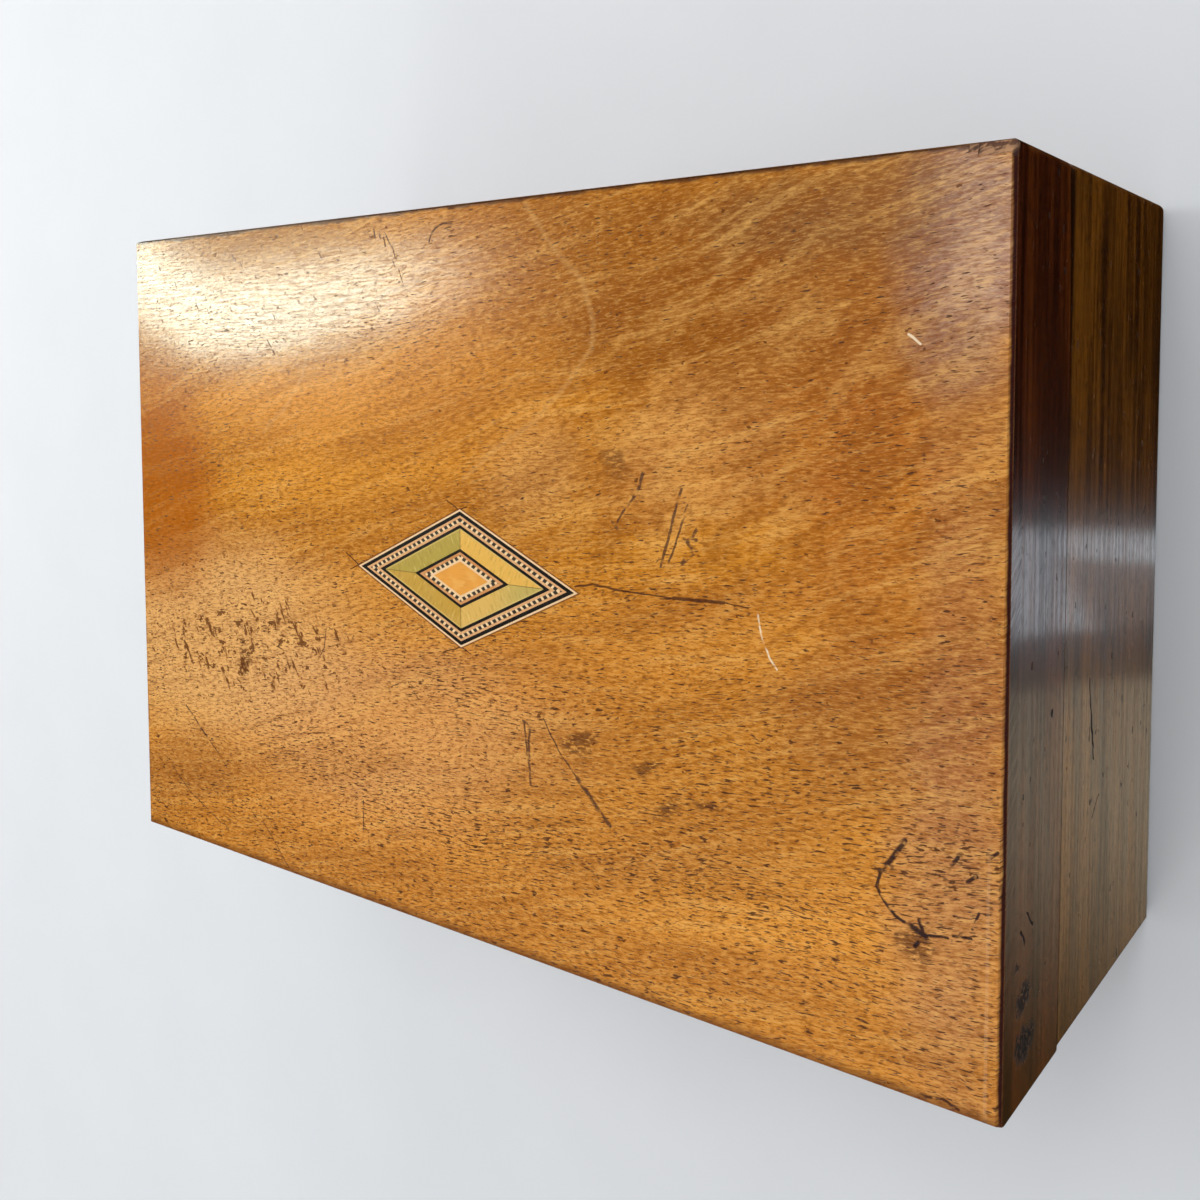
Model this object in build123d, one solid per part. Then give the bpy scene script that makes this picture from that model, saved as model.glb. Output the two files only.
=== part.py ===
from build123d import *
import os

# An antique sewing box: a veneered case with a hinged lid, a box lock, a lift-out tray and a
# diamond of stringing let into the lid. X runs along the box, +Y points to the hinges at the
# back and +Z up. The case is drawn about its own middle, then moved so that the origin lies
# under the middle of the whole outline, hinge knuckles included.

# Case
case_length = 295.0
case_depth = 200.0
case_height = 122.0
base_height = 84.0
wall = 8.5
bottom_board = 6.0
top_board = 7.0
seam_gap = 0.3
lid_overhang = 1.2
corner_radius = 1.5
base_front_round = 3.5
base_back_round = 5.0
base_end_round = 1.5
front_bevel_height = 5.8
front_bevel_inset = 1.8
back_bevel_height = 2.3
back_bevel_inset = 0.9
end_bevel = 1.0

# Wear: the lid's back right corner stands off the base, and its top arris is chipped in steps
lift_length = 36.0
lift_rise = 2.6
lift_step = 0.6
chip_steps = 3
chip_length = 11.5
chip_reach = 3.2
chip_drop = 1.6

# Inlay, from its edge inwards: the width of each band across the grain of the strings
inlay_half_length = 39.9
inlay_half_width = 18.7
inlay_depth = 1.0
outer_string = 0.5
outer_black = 1.0
outer_tan = 0.55
outer_chequer = 1.1
inner_tan = 0.65
panel_black = 0.85
panel_band = 5.0
core_black = 0.8
core_tan = 0.65
core_chequer = 1.1
core_string = 0.55

# Linings
lining_board = 3.0
floor_lining = 1.2
lid_lining = 0.8
lining_setback = 0.5
pad_frame_width = 8.0
pad_frame_depth = 3.0
pad_depth = 6.0
pad_gap = 0.3
pad_corner = 6.0
pad_crown = 4.0

# Hinges
hinge_from_end = 60.0
hinge_length = 32.0
leaf_width = 7.2
leaf_thickness = 1.2
knuckle_radius = 2.0
knuckle_count = 5
knuckle_gap = 0.2
knuckle_clearance = 0.3
hinge_pin_radius = 0.9
running_clearance = 0.05

# Screws
screw_head_radius = 1.7
screw_head_height = 0.9
screw_shank_radius = 0.8
screw_length = 5.5
screw_slot = 0.4
screw_clearance = 0.05

# Lock
lock_width = 52.0
lock_drop = 28.0
lock_sheet = 1.2
works_width = 44.0
works_drop = 25.0
works_room = 4.1
lock_cap = 0.8
post_radius = 1.0
post_inset = 1.8
link_spacing = 20.0
link_thickness = 2.0
link_width = 3.4
link_drop = 9.3
link_side = 0.8
link_foot = 1.2
link_clearance = 0.5
link_plate_width = 48.0
link_plate_depth = 5.0
prong_height = 3.0
prong_thickness = 1.2
bolt_travel = 4.0
bolt_clearance = 0.4
bolt_side_gap = 0.3
bolt_height = 6.0
arm_width = 3.0
talon_width = 6.0
talon_depth = 2.0
key_pin_radius = 0.9
key_pin_drop = 3.0
key_pin_proud = 1.0
keyhole_radius = 1.8
keyhole_slot = 1.7
keyhole_drop = 5.0
escutcheon_half_width = 7.5
escutcheon_half_height = 10.5
escutcheon_depth = 1.0

# Tray
tray_height = 28.0
tray_below_rim = 3.0
tray_clearance = 1.2
tray_seat_gap = 0.3
tray_wall = 3.0
tray_floor = 2.0
partition_spacing = 100.0
divider = 2.5
cushion_bay_depth = 56.0
cover_board = 2.0
cover_plug = 1.5
cover_lap = 1.6
cover_clearance = 0.4
knob_foot_radius = 3.0
knob_foot_height = 1.2
knob_neck_radius = 1.4
knob_neck_height = 3.4
knob_ball_radius = 2.7
cushion_gap = 1.0
cushion_height = 27.0
cushion_corner = 7.0
cushion_crown = 9.0
cushion_foot = 2.5

half_length = case_length / 2
lid_front = -case_depth / 2
case_back = case_depth / 2
base_front = lid_front + lid_overhang
lid_rim = base_height + seam_gap
lid_ceiling = case_height - top_board
inner_half = half_length - wall
base_inner_front = base_front + wall
lid_inner_front = lid_front + wall
inner_back = case_back - wall

pin_y = case_back + knuckle_clearance + knuckle_radius
pin_z = base_height + seam_gap / 2
outline_back = pin_y + knuckle_radius
hinge_mids = (hinge_from_end - half_length, half_length - hinge_from_end)

tray_top = base_height - tray_below_rim
tray_bottom = tray_top - tray_height
tray_half = inner_half - tray_clearance
tray_front = base_inner_front + tray_clearance
tray_back = inner_back - tray_clearance

works_back = base_inner_front - lock_sheet
works_front = works_back - works_room
works_middle = (works_back + works_front) / 2
lock_front = works_front - lock_cap
link_bottom = lid_rim - link_drop
eye_bottom = link_bottom + link_foot
eye_top = eye_bottom + prong_height + 2 * link_clearance
bolt_top = link_bottom - 2 * bolt_clearance
bolt_bottom = bolt_top - bolt_height
key_pin_z = bolt_bottom - key_pin_drop
link_places = (-link_spacing / 2, link_spacing / 2)
retracted_tip = link_thickness / 2 + link_clearance
arm_back = link_thickness / 2 + bolt_clearance + bolt_travel


def block(x_span, y_span, z_span):
    spans = (x_span, y_span, z_span)
    middle = Vector(*[(low + high) / 2 for low, high in spans])
    return Location(middle) * Box(*[high - low for low, high in spans])


def prism(corners, z_low, z_high):
    outline = Polygon(*corners, align=None)
    return Pos(0, 0, z_low) * extrude(outline, z_high - z_low, dir=(0, 0, 1))


def rounded(corners, radii):
    outline = Polygon(*corners, align=None)
    for corner, radius in zip(corners, radii):
        nearest = outline.vertices().sort_by_distance(Vector(*corner))[0]
        outline = fillet(nearest, radius)
    return outline


def plan_form(y_low, y_high):
    corners = [(-half_length, y_low), (half_length, y_low), (half_length, y_high), (-half_length, y_high)]
    return extrude(rounded(corners, [corner_radius] * 4), case_height, dir=(0, 0, 1))


def base_form():
    end_corners = [(base_front, 0), (case_back, 0)]
    end_view = rounded(end_corners + [(case_back, base_height), (base_front, base_height)],
                       [base_front_round, base_back_round])
    front_corners = [(-half_length, 0), (half_length, 0)]
    front_view = rounded(front_corners + [(half_length, base_height), (-half_length, base_height)],
                         [base_end_round, base_end_round])
    form = extrude(Plane.YZ * end_view, half_length, both=True)
    form &= extrude(Plane.XZ * front_view, case_depth, both=True)
    return form & plan_form(base_front, case_back)


def lid_form():
    end_view = Polygon((lid_front, lid_rim), (case_back, lid_rim),
                       (case_back, case_height - back_bevel_height),
                       (case_back - back_bevel_inset, case_height),
                       (lid_front + front_bevel_inset, case_height),
                       (lid_front, case_height - front_bevel_height), align=None)
    front_view = Polygon((-half_length, lid_rim), (half_length, lid_rim),
                         (half_length, case_height - end_bevel),
                         (half_length - end_bevel, case_height),
                         (end_bevel - half_length, case_height),
                         (-half_length, case_height - end_bevel), align=None)
    form = extrude(Plane.YZ * end_view, half_length, both=True)
    form &= extrude(Plane.XZ * front_view, case_depth, both=True)
    return form & plan_form(lid_front, case_back) - corner_wear()


def corner_wear():
    start = case_back - lift_length
    wedge = Polygon((start, lid_rim), (case_back, lid_rim), (case_back, lid_rim + lift_rise),
                    (start, lid_rim + lift_step), align=None)
    wear = Pos(inner_half, 0, 0) * extrude(Plane.YZ * wedge, wall, dir=(1, 0, 0))
    for step in range(1, chip_steps + 1):
        reach = chip_reach * step / chip_steps
        length = chip_length * (1 - 0.5 * (step - 1) / chip_steps)
        chip = Polygon((case_back - reach, case_height), (case_back, case_height),
                       (case_back, case_height - chip_drop * step / chip_steps), align=None)
        place = Pos(half_length - length, 0, 0)
        wear += place * extrude(Plane.YZ * chip, length, dir=(1, 0, 0))
    return wear


def mitred(half_x, y_low, y_high, thickness, z_low, z_high):
    outer = [(-half_x, y_low), (half_x, y_low), (half_x, y_high), (-half_x, y_high)]
    inset = half_x - thickness
    inner = [(-inset, y_low + thickness), (inset, y_low + thickness),
             (inset, y_high - thickness), (-inset, y_high - thickness)]
    boards = {}
    for index, side in enumerate(("front", "right", "back", "left")):
        after = (index + 1) % 4
        boards[side] = prism([outer[index], outer[after], inner[after], inner[index]], z_low, z_high)
    return boards


def screw(extra=0.0):
    head = Pos(0, 0, -screw_head_height / 2) * Cone(screw_shank_radius + extra,
                                                    screw_head_radius + extra, screw_head_height)
    shank_length = screw_length + extra - screw_head_height
    shank = Pos(0, 0, -screw_head_height - shank_length / 2) * Cylinder(screw_shank_radius + extra,
                                                                        shank_length)
    return head + shank


def slotted_screw():
    slot = Box(3 * screw_head_radius, screw_slot, screw_slot * 2)
    return screw() - slot


def at_each(places, solid):
    return [place * solid for place in places]


def base_hinge_screws():
    y = case_back - leaf_width / 2
    return [Pos(mid + step, y, base_height) for mid in hinge_mids
            for step in (-hinge_length / 3, 0, hinge_length / 3)]


def lid_hinge_screws():
    y = case_back - leaf_width / 2
    return [Pos(mid + step, y, lid_rim) * Rot(180, 0, 0) for mid in hinge_mids
            for step in (-hinge_length / 3, 0, hinge_length / 3)]


def lock_screws():
    x = (lock_width + works_width) / 4
    z = base_height - lock_drop / 2
    return [Pos(side * x, base_inner_front, z) * Rot(-90, 0, 0) for side in (-1, 1)]


def link_screws():
    x = link_plate_width / 2 - 2 * screw_head_radius
    y = lid_inner_front - link_plate_depth / 2
    return [Pos(side * x, y, lid_rim) * Rot(180, 0, 0) for side in (-1, 1)]


def without_screws(solid, places):
    for hole in at_each(places, screw(screw_clearance)):
        solid -= hole
    return solid


def along_x(x_mid, y, z, radius, length):
    return Pos(x_mid, y, z) * Rot(0, 90, 0) * Cylinder(radius, length)


def hinge_leaf(x_mid, z_low, first_knuckle, screws):
    x_span = (x_mid - hinge_length / 2, x_mid + hinge_length / 2)
    z_span = (z_low, z_low + leaf_thickness)
    leaf = block(x_span, (case_back - leaf_width, case_back - knuckle_gap), z_span)
    pitch = hinge_length / knuckle_count
    for index in range(first_knuckle, knuckle_count, 2):
        x = x_span[0] + (index + 0.5) * pitch
        half = (pitch - knuckle_gap) / 2
        leaf += block((x - half, x + half), (case_back - knuckle_gap, pin_y), z_span)
        leaf += along_x(x, pin_y, pin_z, knuckle_radius, 2 * half)
    leaf -= along_x(x_mid, pin_y, pin_z, hinge_pin_radius + running_clearance, hinge_length)
    return without_screws(leaf, screws)


def leaf_recess(x_mid, z_low):
    return block((x_mid - hinge_length / 2, x_mid + hinge_length / 2),
                 (case_back - leaf_width, case_back), (z_low, z_low + leaf_thickness))


def keyhole(y_low, y_high):
    barrel = Pos(0, (y_low + y_high) / 2, key_pin_z) * Rot(90, 0, 0) * Cylinder(keyhole_radius,
                                                                                y_high - y_low)
    slot = block((-keyhole_slot / 2, keyhole_slot / 2), (y_low, y_high),
                 (key_pin_z - keyhole_drop, key_pin_z))
    return barrel + slot


def escutcheon_diamond():
    z = key_pin_z - keyhole_drop / 2 + keyhole_radius / 2
    outline = Polygon((-escutcheon_half_width, z), (0, z - escutcheon_half_height),
                      (escutcheon_half_width, z), (0, z + escutcheon_half_height), align=None)
    return Pos(0, base_front, 0) * extrude(Plane.XZ * outline, escutcheon_depth, dir=(0, 1, 0))


def lock_recess():
    plate = block((-lock_width / 2, lock_width / 2), (works_back, base_inner_front),
                  (base_height - lock_drop, base_height))
    selvedge = block((-lock_width / 2, lock_width / 2), (lock_front, base_inner_front),
                     (base_height - lock_sheet, base_height))
    works = block((-works_width / 2, works_width / 2), (lock_front, base_inner_front),
                  (base_height - works_drop, base_height))
    return plate + selvedge + works


def case_boards():
    boards = mitred(half_length, base_front, case_back, wall, 0, base_height)
    form = base_form()
    boards = {side: form & board for side, board in boards.items()}
    boards["front"] -= lock_recess() + keyhole(base_front, lock_front) + escutcheon_diamond()
    boards["front"] = without_screws(boards["front"], lock_screws())
    for mid in hinge_mids:
        boards["back"] -= leaf_recess(mid, base_height - leaf_thickness)
    boards["back"] = without_screws(boards["back"], base_hinge_screws())
    return {side + "_board": board for side, board in boards.items()}


def floor_parts():
    y_span = (base_inner_front, inner_back)
    x_span = (-inner_half, inner_half)
    linings = mitred(inner_half, base_inner_front, inner_back, lining_board, bottom_board,
                     tray_bottom - tray_seat_gap)
    parts = {side + "_lining": board for side, board in linings.items()}
    parts["bottom_board"] = block(x_span, y_span, (0, bottom_board))
    parts["floor_lining"] = block((lining_board - inner_half, inner_half - lining_board),
                                  (base_inner_front + lining_board, inner_back - lining_board),
                                  (bottom_board, bottom_board + floor_lining))
    return parts


def lock_plate():
    plate = block((-lock_width / 2, lock_width / 2), (works_back, base_inner_front),
                  (base_height - lock_drop, base_height))
    plate += block((-lock_width / 2, lock_width / 2), (lock_front, base_inner_front),
                   (base_height - lock_sheet, base_height))
    for x in link_places:
        half_x = link_thickness / 2 + link_clearance
        half_y = link_width / 2 + bolt_clearance
        plate -= block((x - half_x, x + half_x), (works_middle - half_y, works_middle + half_y),
                       (base_height - lock_sheet, base_height))
    return without_screws(plate, lock_screws())


def lock_posts():
    x = works_width / 2 - post_inset
    low = base_height - works_drop + post_inset
    high = base_height - lock_sheet - post_inset
    post = Rot(90, 0, 0) * Cylinder(post_radius, works_room)
    return [Pos(side * x, works_middle, z) * post for side in (-1, 1) for z in (low, high)]


def lock_bolt():
    half_bar = works_room / 2 - bolt_side_gap
    ends = [x - arm_back for x in link_places]
    bolt = block((ends[0] - arm_width, ends[1]), (works_middle - half_bar, works_middle + half_bar),
                 (bolt_bottom, bolt_top))
    prong_y = (works_middle - prong_thickness / 2, works_middle + prong_thickness / 2)
    prong_z = (eye_bottom + link_clearance, eye_bottom + link_clearance + prong_height)
    for x, end in zip(link_places, ends):
        bolt += block((end - arm_width, end), prong_y, (bolt_top, prong_z[1]))
        bolt += block((end - arm_width, x - retracted_tip), prong_y, prong_z)
    middle = (ends[0] - arm_width + ends[1]) / 2
    return bolt - block((middle - talon_width / 2, middle + talon_width / 2),
                        (works_front, works_back), (bolt_bottom, bolt_bottom + talon_depth))


def lock_parts():
    cap = block((-works_width / 2, works_width / 2), (lock_front, works_front),
                (base_height - works_drop, base_height - lock_sheet))
    pin_length = works_room + lock_cap + key_pin_proud
    return {
        "lock_plate": lock_plate(),
        "lock_cap": cap - keyhole(lock_front, works_front),
        "lock_posts": lock_posts(),
        "lock_key_pin": Pos(0, works_back - pin_length / 2, key_pin_z) * Rot(90, 0, 0)
        * Cylinder(key_pin_radius, pin_length),
        "lock_screws": at_each(lock_screws(), slotted_screw()),
        "keyhole_escutcheon": escutcheon_diamond() - keyhole(base_front, lock_front),
        "lock_bolt": lock_bolt(),
        "lock_link_plate": lock_link_plate(),
        "link_plate_screws": at_each(link_screws(), slotted_screw()),
    }


def link_plate_blank():
    return block((-link_plate_width / 2, link_plate_width / 2),
                 (lid_inner_front - link_plate_depth, lid_inner_front),
                 (lid_rim, lid_rim + lock_sheet))


def lock_link_plate():
    plate = link_plate_blank()
    eye_half = link_width / 2 - link_side
    for x in link_places:
        x_span = (x - link_thickness / 2, x + link_thickness / 2)
        plate += block(x_span, (works_middle - link_width / 2, works_middle + link_width / 2),
                       (link_bottom, lid_rim + lock_sheet))
        plate -= block(x_span, (works_middle - eye_half, works_middle + eye_half),
                       (eye_bottom, eye_top))
    return without_screws(plate, link_screws())


def hinge_parts():
    parts = {}
    for side, mid in zip(("left", "right"), hinge_mids):
        parts[side + "_hinge_base_leaf"] = hinge_leaf(mid, base_height - leaf_thickness, 0,
                                                      base_hinge_screws())
        parts[side + "_hinge_lid_leaf"] = hinge_leaf(mid, lid_rim, 1, lid_hinge_screws())
        parts[side + "_hinge_pin"] = along_x(mid, pin_y, pin_z, hinge_pin_radius, hinge_length)
    parts["base_hinge_screws"] = at_each(base_hinge_screws(), slotted_screw())
    parts["lid_hinge_screws"] = at_each(lid_hinge_screws(), slotted_screw())
    return parts


def diamond(scale):
    x = inlay_half_length * scale
    y = inlay_half_width * scale
    return [(x, 0), (0, y), (-x, 0), (0, -y)]


def inlay_parts():
    slant = (inlay_half_length ** 2 + inlay_half_width ** 2) ** 0.5
    reach = inlay_half_length * inlay_half_width / slant
    bands = [
        ("inlay_outer_string", outer_string),
        ("inlay_outer_black", outer_black),
        ("inlay_outer_tan", outer_tan),
        ("inlay_outer_chequer", outer_chequer),
        ("inlay_inner_tan", inner_tan),
        ("inlay_panel_black", panel_black),
        ("inlay_panels", panel_band),
        ("inlay_core_black", core_black),
        ("inlay_core_tan", core_tan),
        ("inlay_core_chequer", core_chequer),
        ("inlay_core_string", core_string),
    ]
    parts = {}
    depth_in = 0.0
    floor = case_height - inlay_depth
    for name, width in bands:
        outer = diamond(1 - depth_in / reach)
        depth_in += width
        inner = diamond(1 - depth_in / reach)
        strips = []
        for index in range(4):
            after = (index + 1) % 4
            strip = [outer[index], outer[after], inner[after], inner[index]]
            strips.append(prism(strip, floor, case_height))
        parts[name] = strips
    parts["inlay_centre"] = prism(diamond(1 - depth_in / reach), floor, case_height)
    return parts


def lid_boards():
    form = lid_form()
    rails = mitred(half_length, lid_front, case_back, wall, lid_rim, lid_ceiling)
    rails = {side: form & rail for side, rail in rails.items()}
    rails["front"] = without_screws(rails["front"] - link_plate_blank(), link_screws())
    for mid in hinge_mids:
        rails["back"] -= leaf_recess(mid, lid_rim)
    rails["back"] = without_screws(rails["back"], lid_hinge_screws())
    parts = {"lid_" + side + "_rail": rail for side, rail in rails.items()}
    top = form & block((-half_length, half_length), (lid_front, case_back), (lid_ceiling, case_height))
    parts["lid_top_board"] = top - prism(diamond(1), case_height - inlay_depth, case_height)
    return parts


def padded_panel(x_span, y_span, z_span, corner, crown, crown_up):
    panel = block(x_span, y_span, z_span)
    panel = fillet(panel.edges().filter_by(Axis.Z), corner)
    face = panel.faces().sort_by(Axis.Z)[-1 if crown_up else 0]
    return fillet(face.edges(), crown)


def lid_lining_parts():
    lining_top = lid_ceiling
    linings = mitred(inner_half, lid_inner_front, inner_back, lid_lining, lid_rim + lining_setback,
                     lining_top)
    frame_half = inner_half - lid_lining
    frame_front = lid_inner_front + lid_lining
    frame_back = inner_back - lid_lining
    frame = mitred(frame_half, frame_front, frame_back, pad_frame_width,
                   lid_ceiling - pad_frame_depth, lid_ceiling)
    edge = pad_frame_width + pad_gap
    pad = padded_panel((edge - frame_half, frame_half - edge), (frame_front + edge, frame_back - edge),
                       (lid_ceiling - pad_depth, lid_ceiling), pad_corner, pad_crown, False)
    return {
        "lid_side_linings": list(linings.values()),
        "lid_pad_frame": list(frame.values()),
        "lid_silk_pad": pad,
    }


def tray_bays():
    partition = partition_spacing / 2
    outer = tray_half - tray_wall
    inner = partition + divider / 2
    return {"left": (-outer, -inner), "right": (inner, outer)}


def tray_parts():
    walls = mitred(tray_half, tray_front, tray_back, tray_wall, tray_bottom, tray_top)
    parts = {"tray_" + side + "_wall": board for side, board in walls.items()}
    y_span = (tray_front + tray_wall, tray_back - tray_wall)
    inside = tray_half - tray_wall
    floor_top = tray_bottom + tray_floor
    parts["tray_floor"] = block((-inside, inside), y_span, (tray_bottom, floor_top))
    parts["tray_partitions"] = [
        block((x - divider / 2, x + divider / 2), y_span, (floor_top, tray_top))
        for x in (-partition_spacing / 2, partition_spacing / 2)]
    middle = (y_span[0] + y_span[1]) / 2
    centre = y_span[0] + cushion_bay_depth + divider / 2
    bays = tray_bays()
    centre_bay = (bays["left"][1] + divider, bays["right"][0] - divider)
    short = [(bays["left"], middle), (centre_bay, centre), (bays["right"], middle)]
    parts["tray_dividers"] = [block(span, (y - divider / 2, y + divider / 2), (floor_top, tray_top))
                              for span, y in short]
    for side, span in bays.items():
        cover, knob = compartment_cover(span, (middle + divider / 2, y_span[1]))
        parts[side + "_compartment_cover"] = cover
        parts[side + "_cover_knob"] = knob
    cushion_x = (centre_bay[0] + cushion_gap, centre_bay[1] - cushion_gap)
    cushion_y = (y_span[0] + cushion_gap, centre - divider / 2 - cushion_gap)
    parts["pincushion"] = pincushion(cushion_x, cushion_y, floor_top)
    return parts


def compartment_cover(x_span, y_span):
    lapped = block((x_span[0] - cover_lap / 2, x_span[1] + cover_lap / 2),
                   (y_span[0] - cover_lap / 2, y_span[1] + cover_lap / 2),
                   (tray_top, tray_top + cover_board))
    plug = block((x_span[0] + cover_clearance, x_span[1] - cover_clearance),
                 (y_span[0] + cover_clearance, y_span[1] - cover_clearance),
                 (tray_top - cover_plug, tray_top))
    middle = Pos((x_span[0] + x_span[1]) / 2, (y_span[0] + y_span[1]) / 2, tray_top + cover_board)
    return lapped + plug, middle * turned_knob()


def turned_knob():
    foot = Pos(0, 0, knob_foot_height / 2) * Cone(knob_foot_radius, knob_neck_radius, knob_foot_height)
    ball_middle = knob_foot_height + knob_neck_height
    neck = Pos(0, 0, ball_middle / 2) * Cylinder(knob_neck_radius, ball_middle)
    return foot + neck + Pos(0, 0, ball_middle) * Sphere(knob_ball_radius)


def pincushion(x_span, y_span, z_low):
    foot = block(x_span, y_span, (z_low, z_low + cushion_foot))
    foot = fillet(foot.edges().filter_by(Axis.Z), cushion_corner)
    dome = padded_panel(x_span, y_span, (z_low + cushion_foot, z_low + cushion_height),
                        cushion_corner + cushion_crown / 2, cushion_crown, True)
    return foot + dome


def save(name, shape):
    solids = shape if isinstance(shape, list) else [shape]
    solids = [piece for solid in solids for piece in solid.solids()]
    moved = [Pos(0, (case_back - outline_back) / 2, 0) * solid for solid in solids]
    export_step(moved[0] if len(moved) == 1 else Compound(children=moved), f"parts/{name}.step")


def main():
    os.makedirs("parts", exist_ok=True)
    makers = (case_boards, floor_parts, lock_parts, hinge_parts, lid_boards, inlay_parts,
              lid_lining_parts, tray_parts)
    for maker in makers:
        for name, shape in maker().items():
            save(name, shape)


main()
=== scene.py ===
import math
import bmesh
import bpy
import numpy as np
from mathutils import Matrix, Vector


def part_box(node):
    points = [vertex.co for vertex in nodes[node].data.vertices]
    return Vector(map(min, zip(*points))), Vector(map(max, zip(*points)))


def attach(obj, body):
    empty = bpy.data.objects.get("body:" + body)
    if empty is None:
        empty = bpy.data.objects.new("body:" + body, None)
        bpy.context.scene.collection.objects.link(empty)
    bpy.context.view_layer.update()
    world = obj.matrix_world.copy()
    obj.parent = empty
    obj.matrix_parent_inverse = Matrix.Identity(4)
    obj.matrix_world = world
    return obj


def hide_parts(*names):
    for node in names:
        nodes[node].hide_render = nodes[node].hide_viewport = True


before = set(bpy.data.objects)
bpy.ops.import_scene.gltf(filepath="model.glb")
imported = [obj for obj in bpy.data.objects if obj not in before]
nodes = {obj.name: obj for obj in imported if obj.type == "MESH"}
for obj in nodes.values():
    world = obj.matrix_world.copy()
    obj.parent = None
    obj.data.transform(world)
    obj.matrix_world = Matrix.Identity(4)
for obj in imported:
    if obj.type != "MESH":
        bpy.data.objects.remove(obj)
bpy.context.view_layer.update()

mm = 0.001


def inMm(corners):  # of a box, at rest
    return [np.array(corner) * 1000 for corner in corners]


def rounded(value):
    return round(float(value), 2)


low, high = inMm(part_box("lid_top_board"))
baseRim, lidRim = inMm(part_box("front_board"))[1][2], inMm(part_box("lid_front_rail"))[0][2]
# the closed case, from the middle of its foot
case = {"half": rounded(high[0]), "ahead": rounded(-low[1]), "behind": rounded(high[1]),
        "top": rounded(high[2]), "seam": rounded((baseRim + lidRim) / 2)}


def linear(colour):  # 0-255 as seen on a screen, to the light it stands for
    parts = []
    for part in colour:
        part = part / 255
        parts.append(part / 12.92 if part <= 0.04045 else ((part + 0.055) / 1.055) ** 2.4)
    return (*parts, 1.0)


class Wire:  # a socket that Python sums can be written with
    def __init__(self, recipe, socket):
        self.recipe = recipe
        self.socket = socket

    def sum(self, operation, first, second=None):
        values = {0: first} if second is None else {0: first, 1: second}
        return self.recipe.node("Math", {"operation": operation}, values)

    def __add__(self, other):
        return self.sum("ADD", self, other)

    def __radd__(self, other):
        return self.sum("ADD", other, self)

    def __sub__(self, other):
        return self.sum("SUBTRACT", self, other)

    def __rsub__(self, other):
        return self.sum("SUBTRACT", other, self)

    def __mul__(self, other):
        return self.sum("MULTIPLY", self, other)

    def __rmul__(self, other):
        return self.sum("MULTIPLY", other, self)

    def __truediv__(self, other):
        return self.sum("DIVIDE", self, other)

    def __rtruediv__(self, other):
        return self.sum("DIVIDE", other, self)

    def __abs__(self):
        return self.sum("ABSOLUTE", self)

    def least(self, other):
        return self.sum("MINIMUM", self, other)

    def most(self, other):
        return self.sum("MAXIMUM", self, other)

    def over(self, limit):  # 1 above the limit, else 0
        return self.sum("GREATER_THAN", self, limit)

    def within(self, period):  # what is left over from whole periods
        return self.sum("FLOORED_MODULO", self, period)

    def step(self, low, high):  # smooth from 0 at low to 1 at high; low above high falls
        return self.recipe.node("MapRange", {"interpolation_type": "SMOOTHSTEP"},
                                {"Value": self, "From Min": low, "From Max": high})


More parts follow.
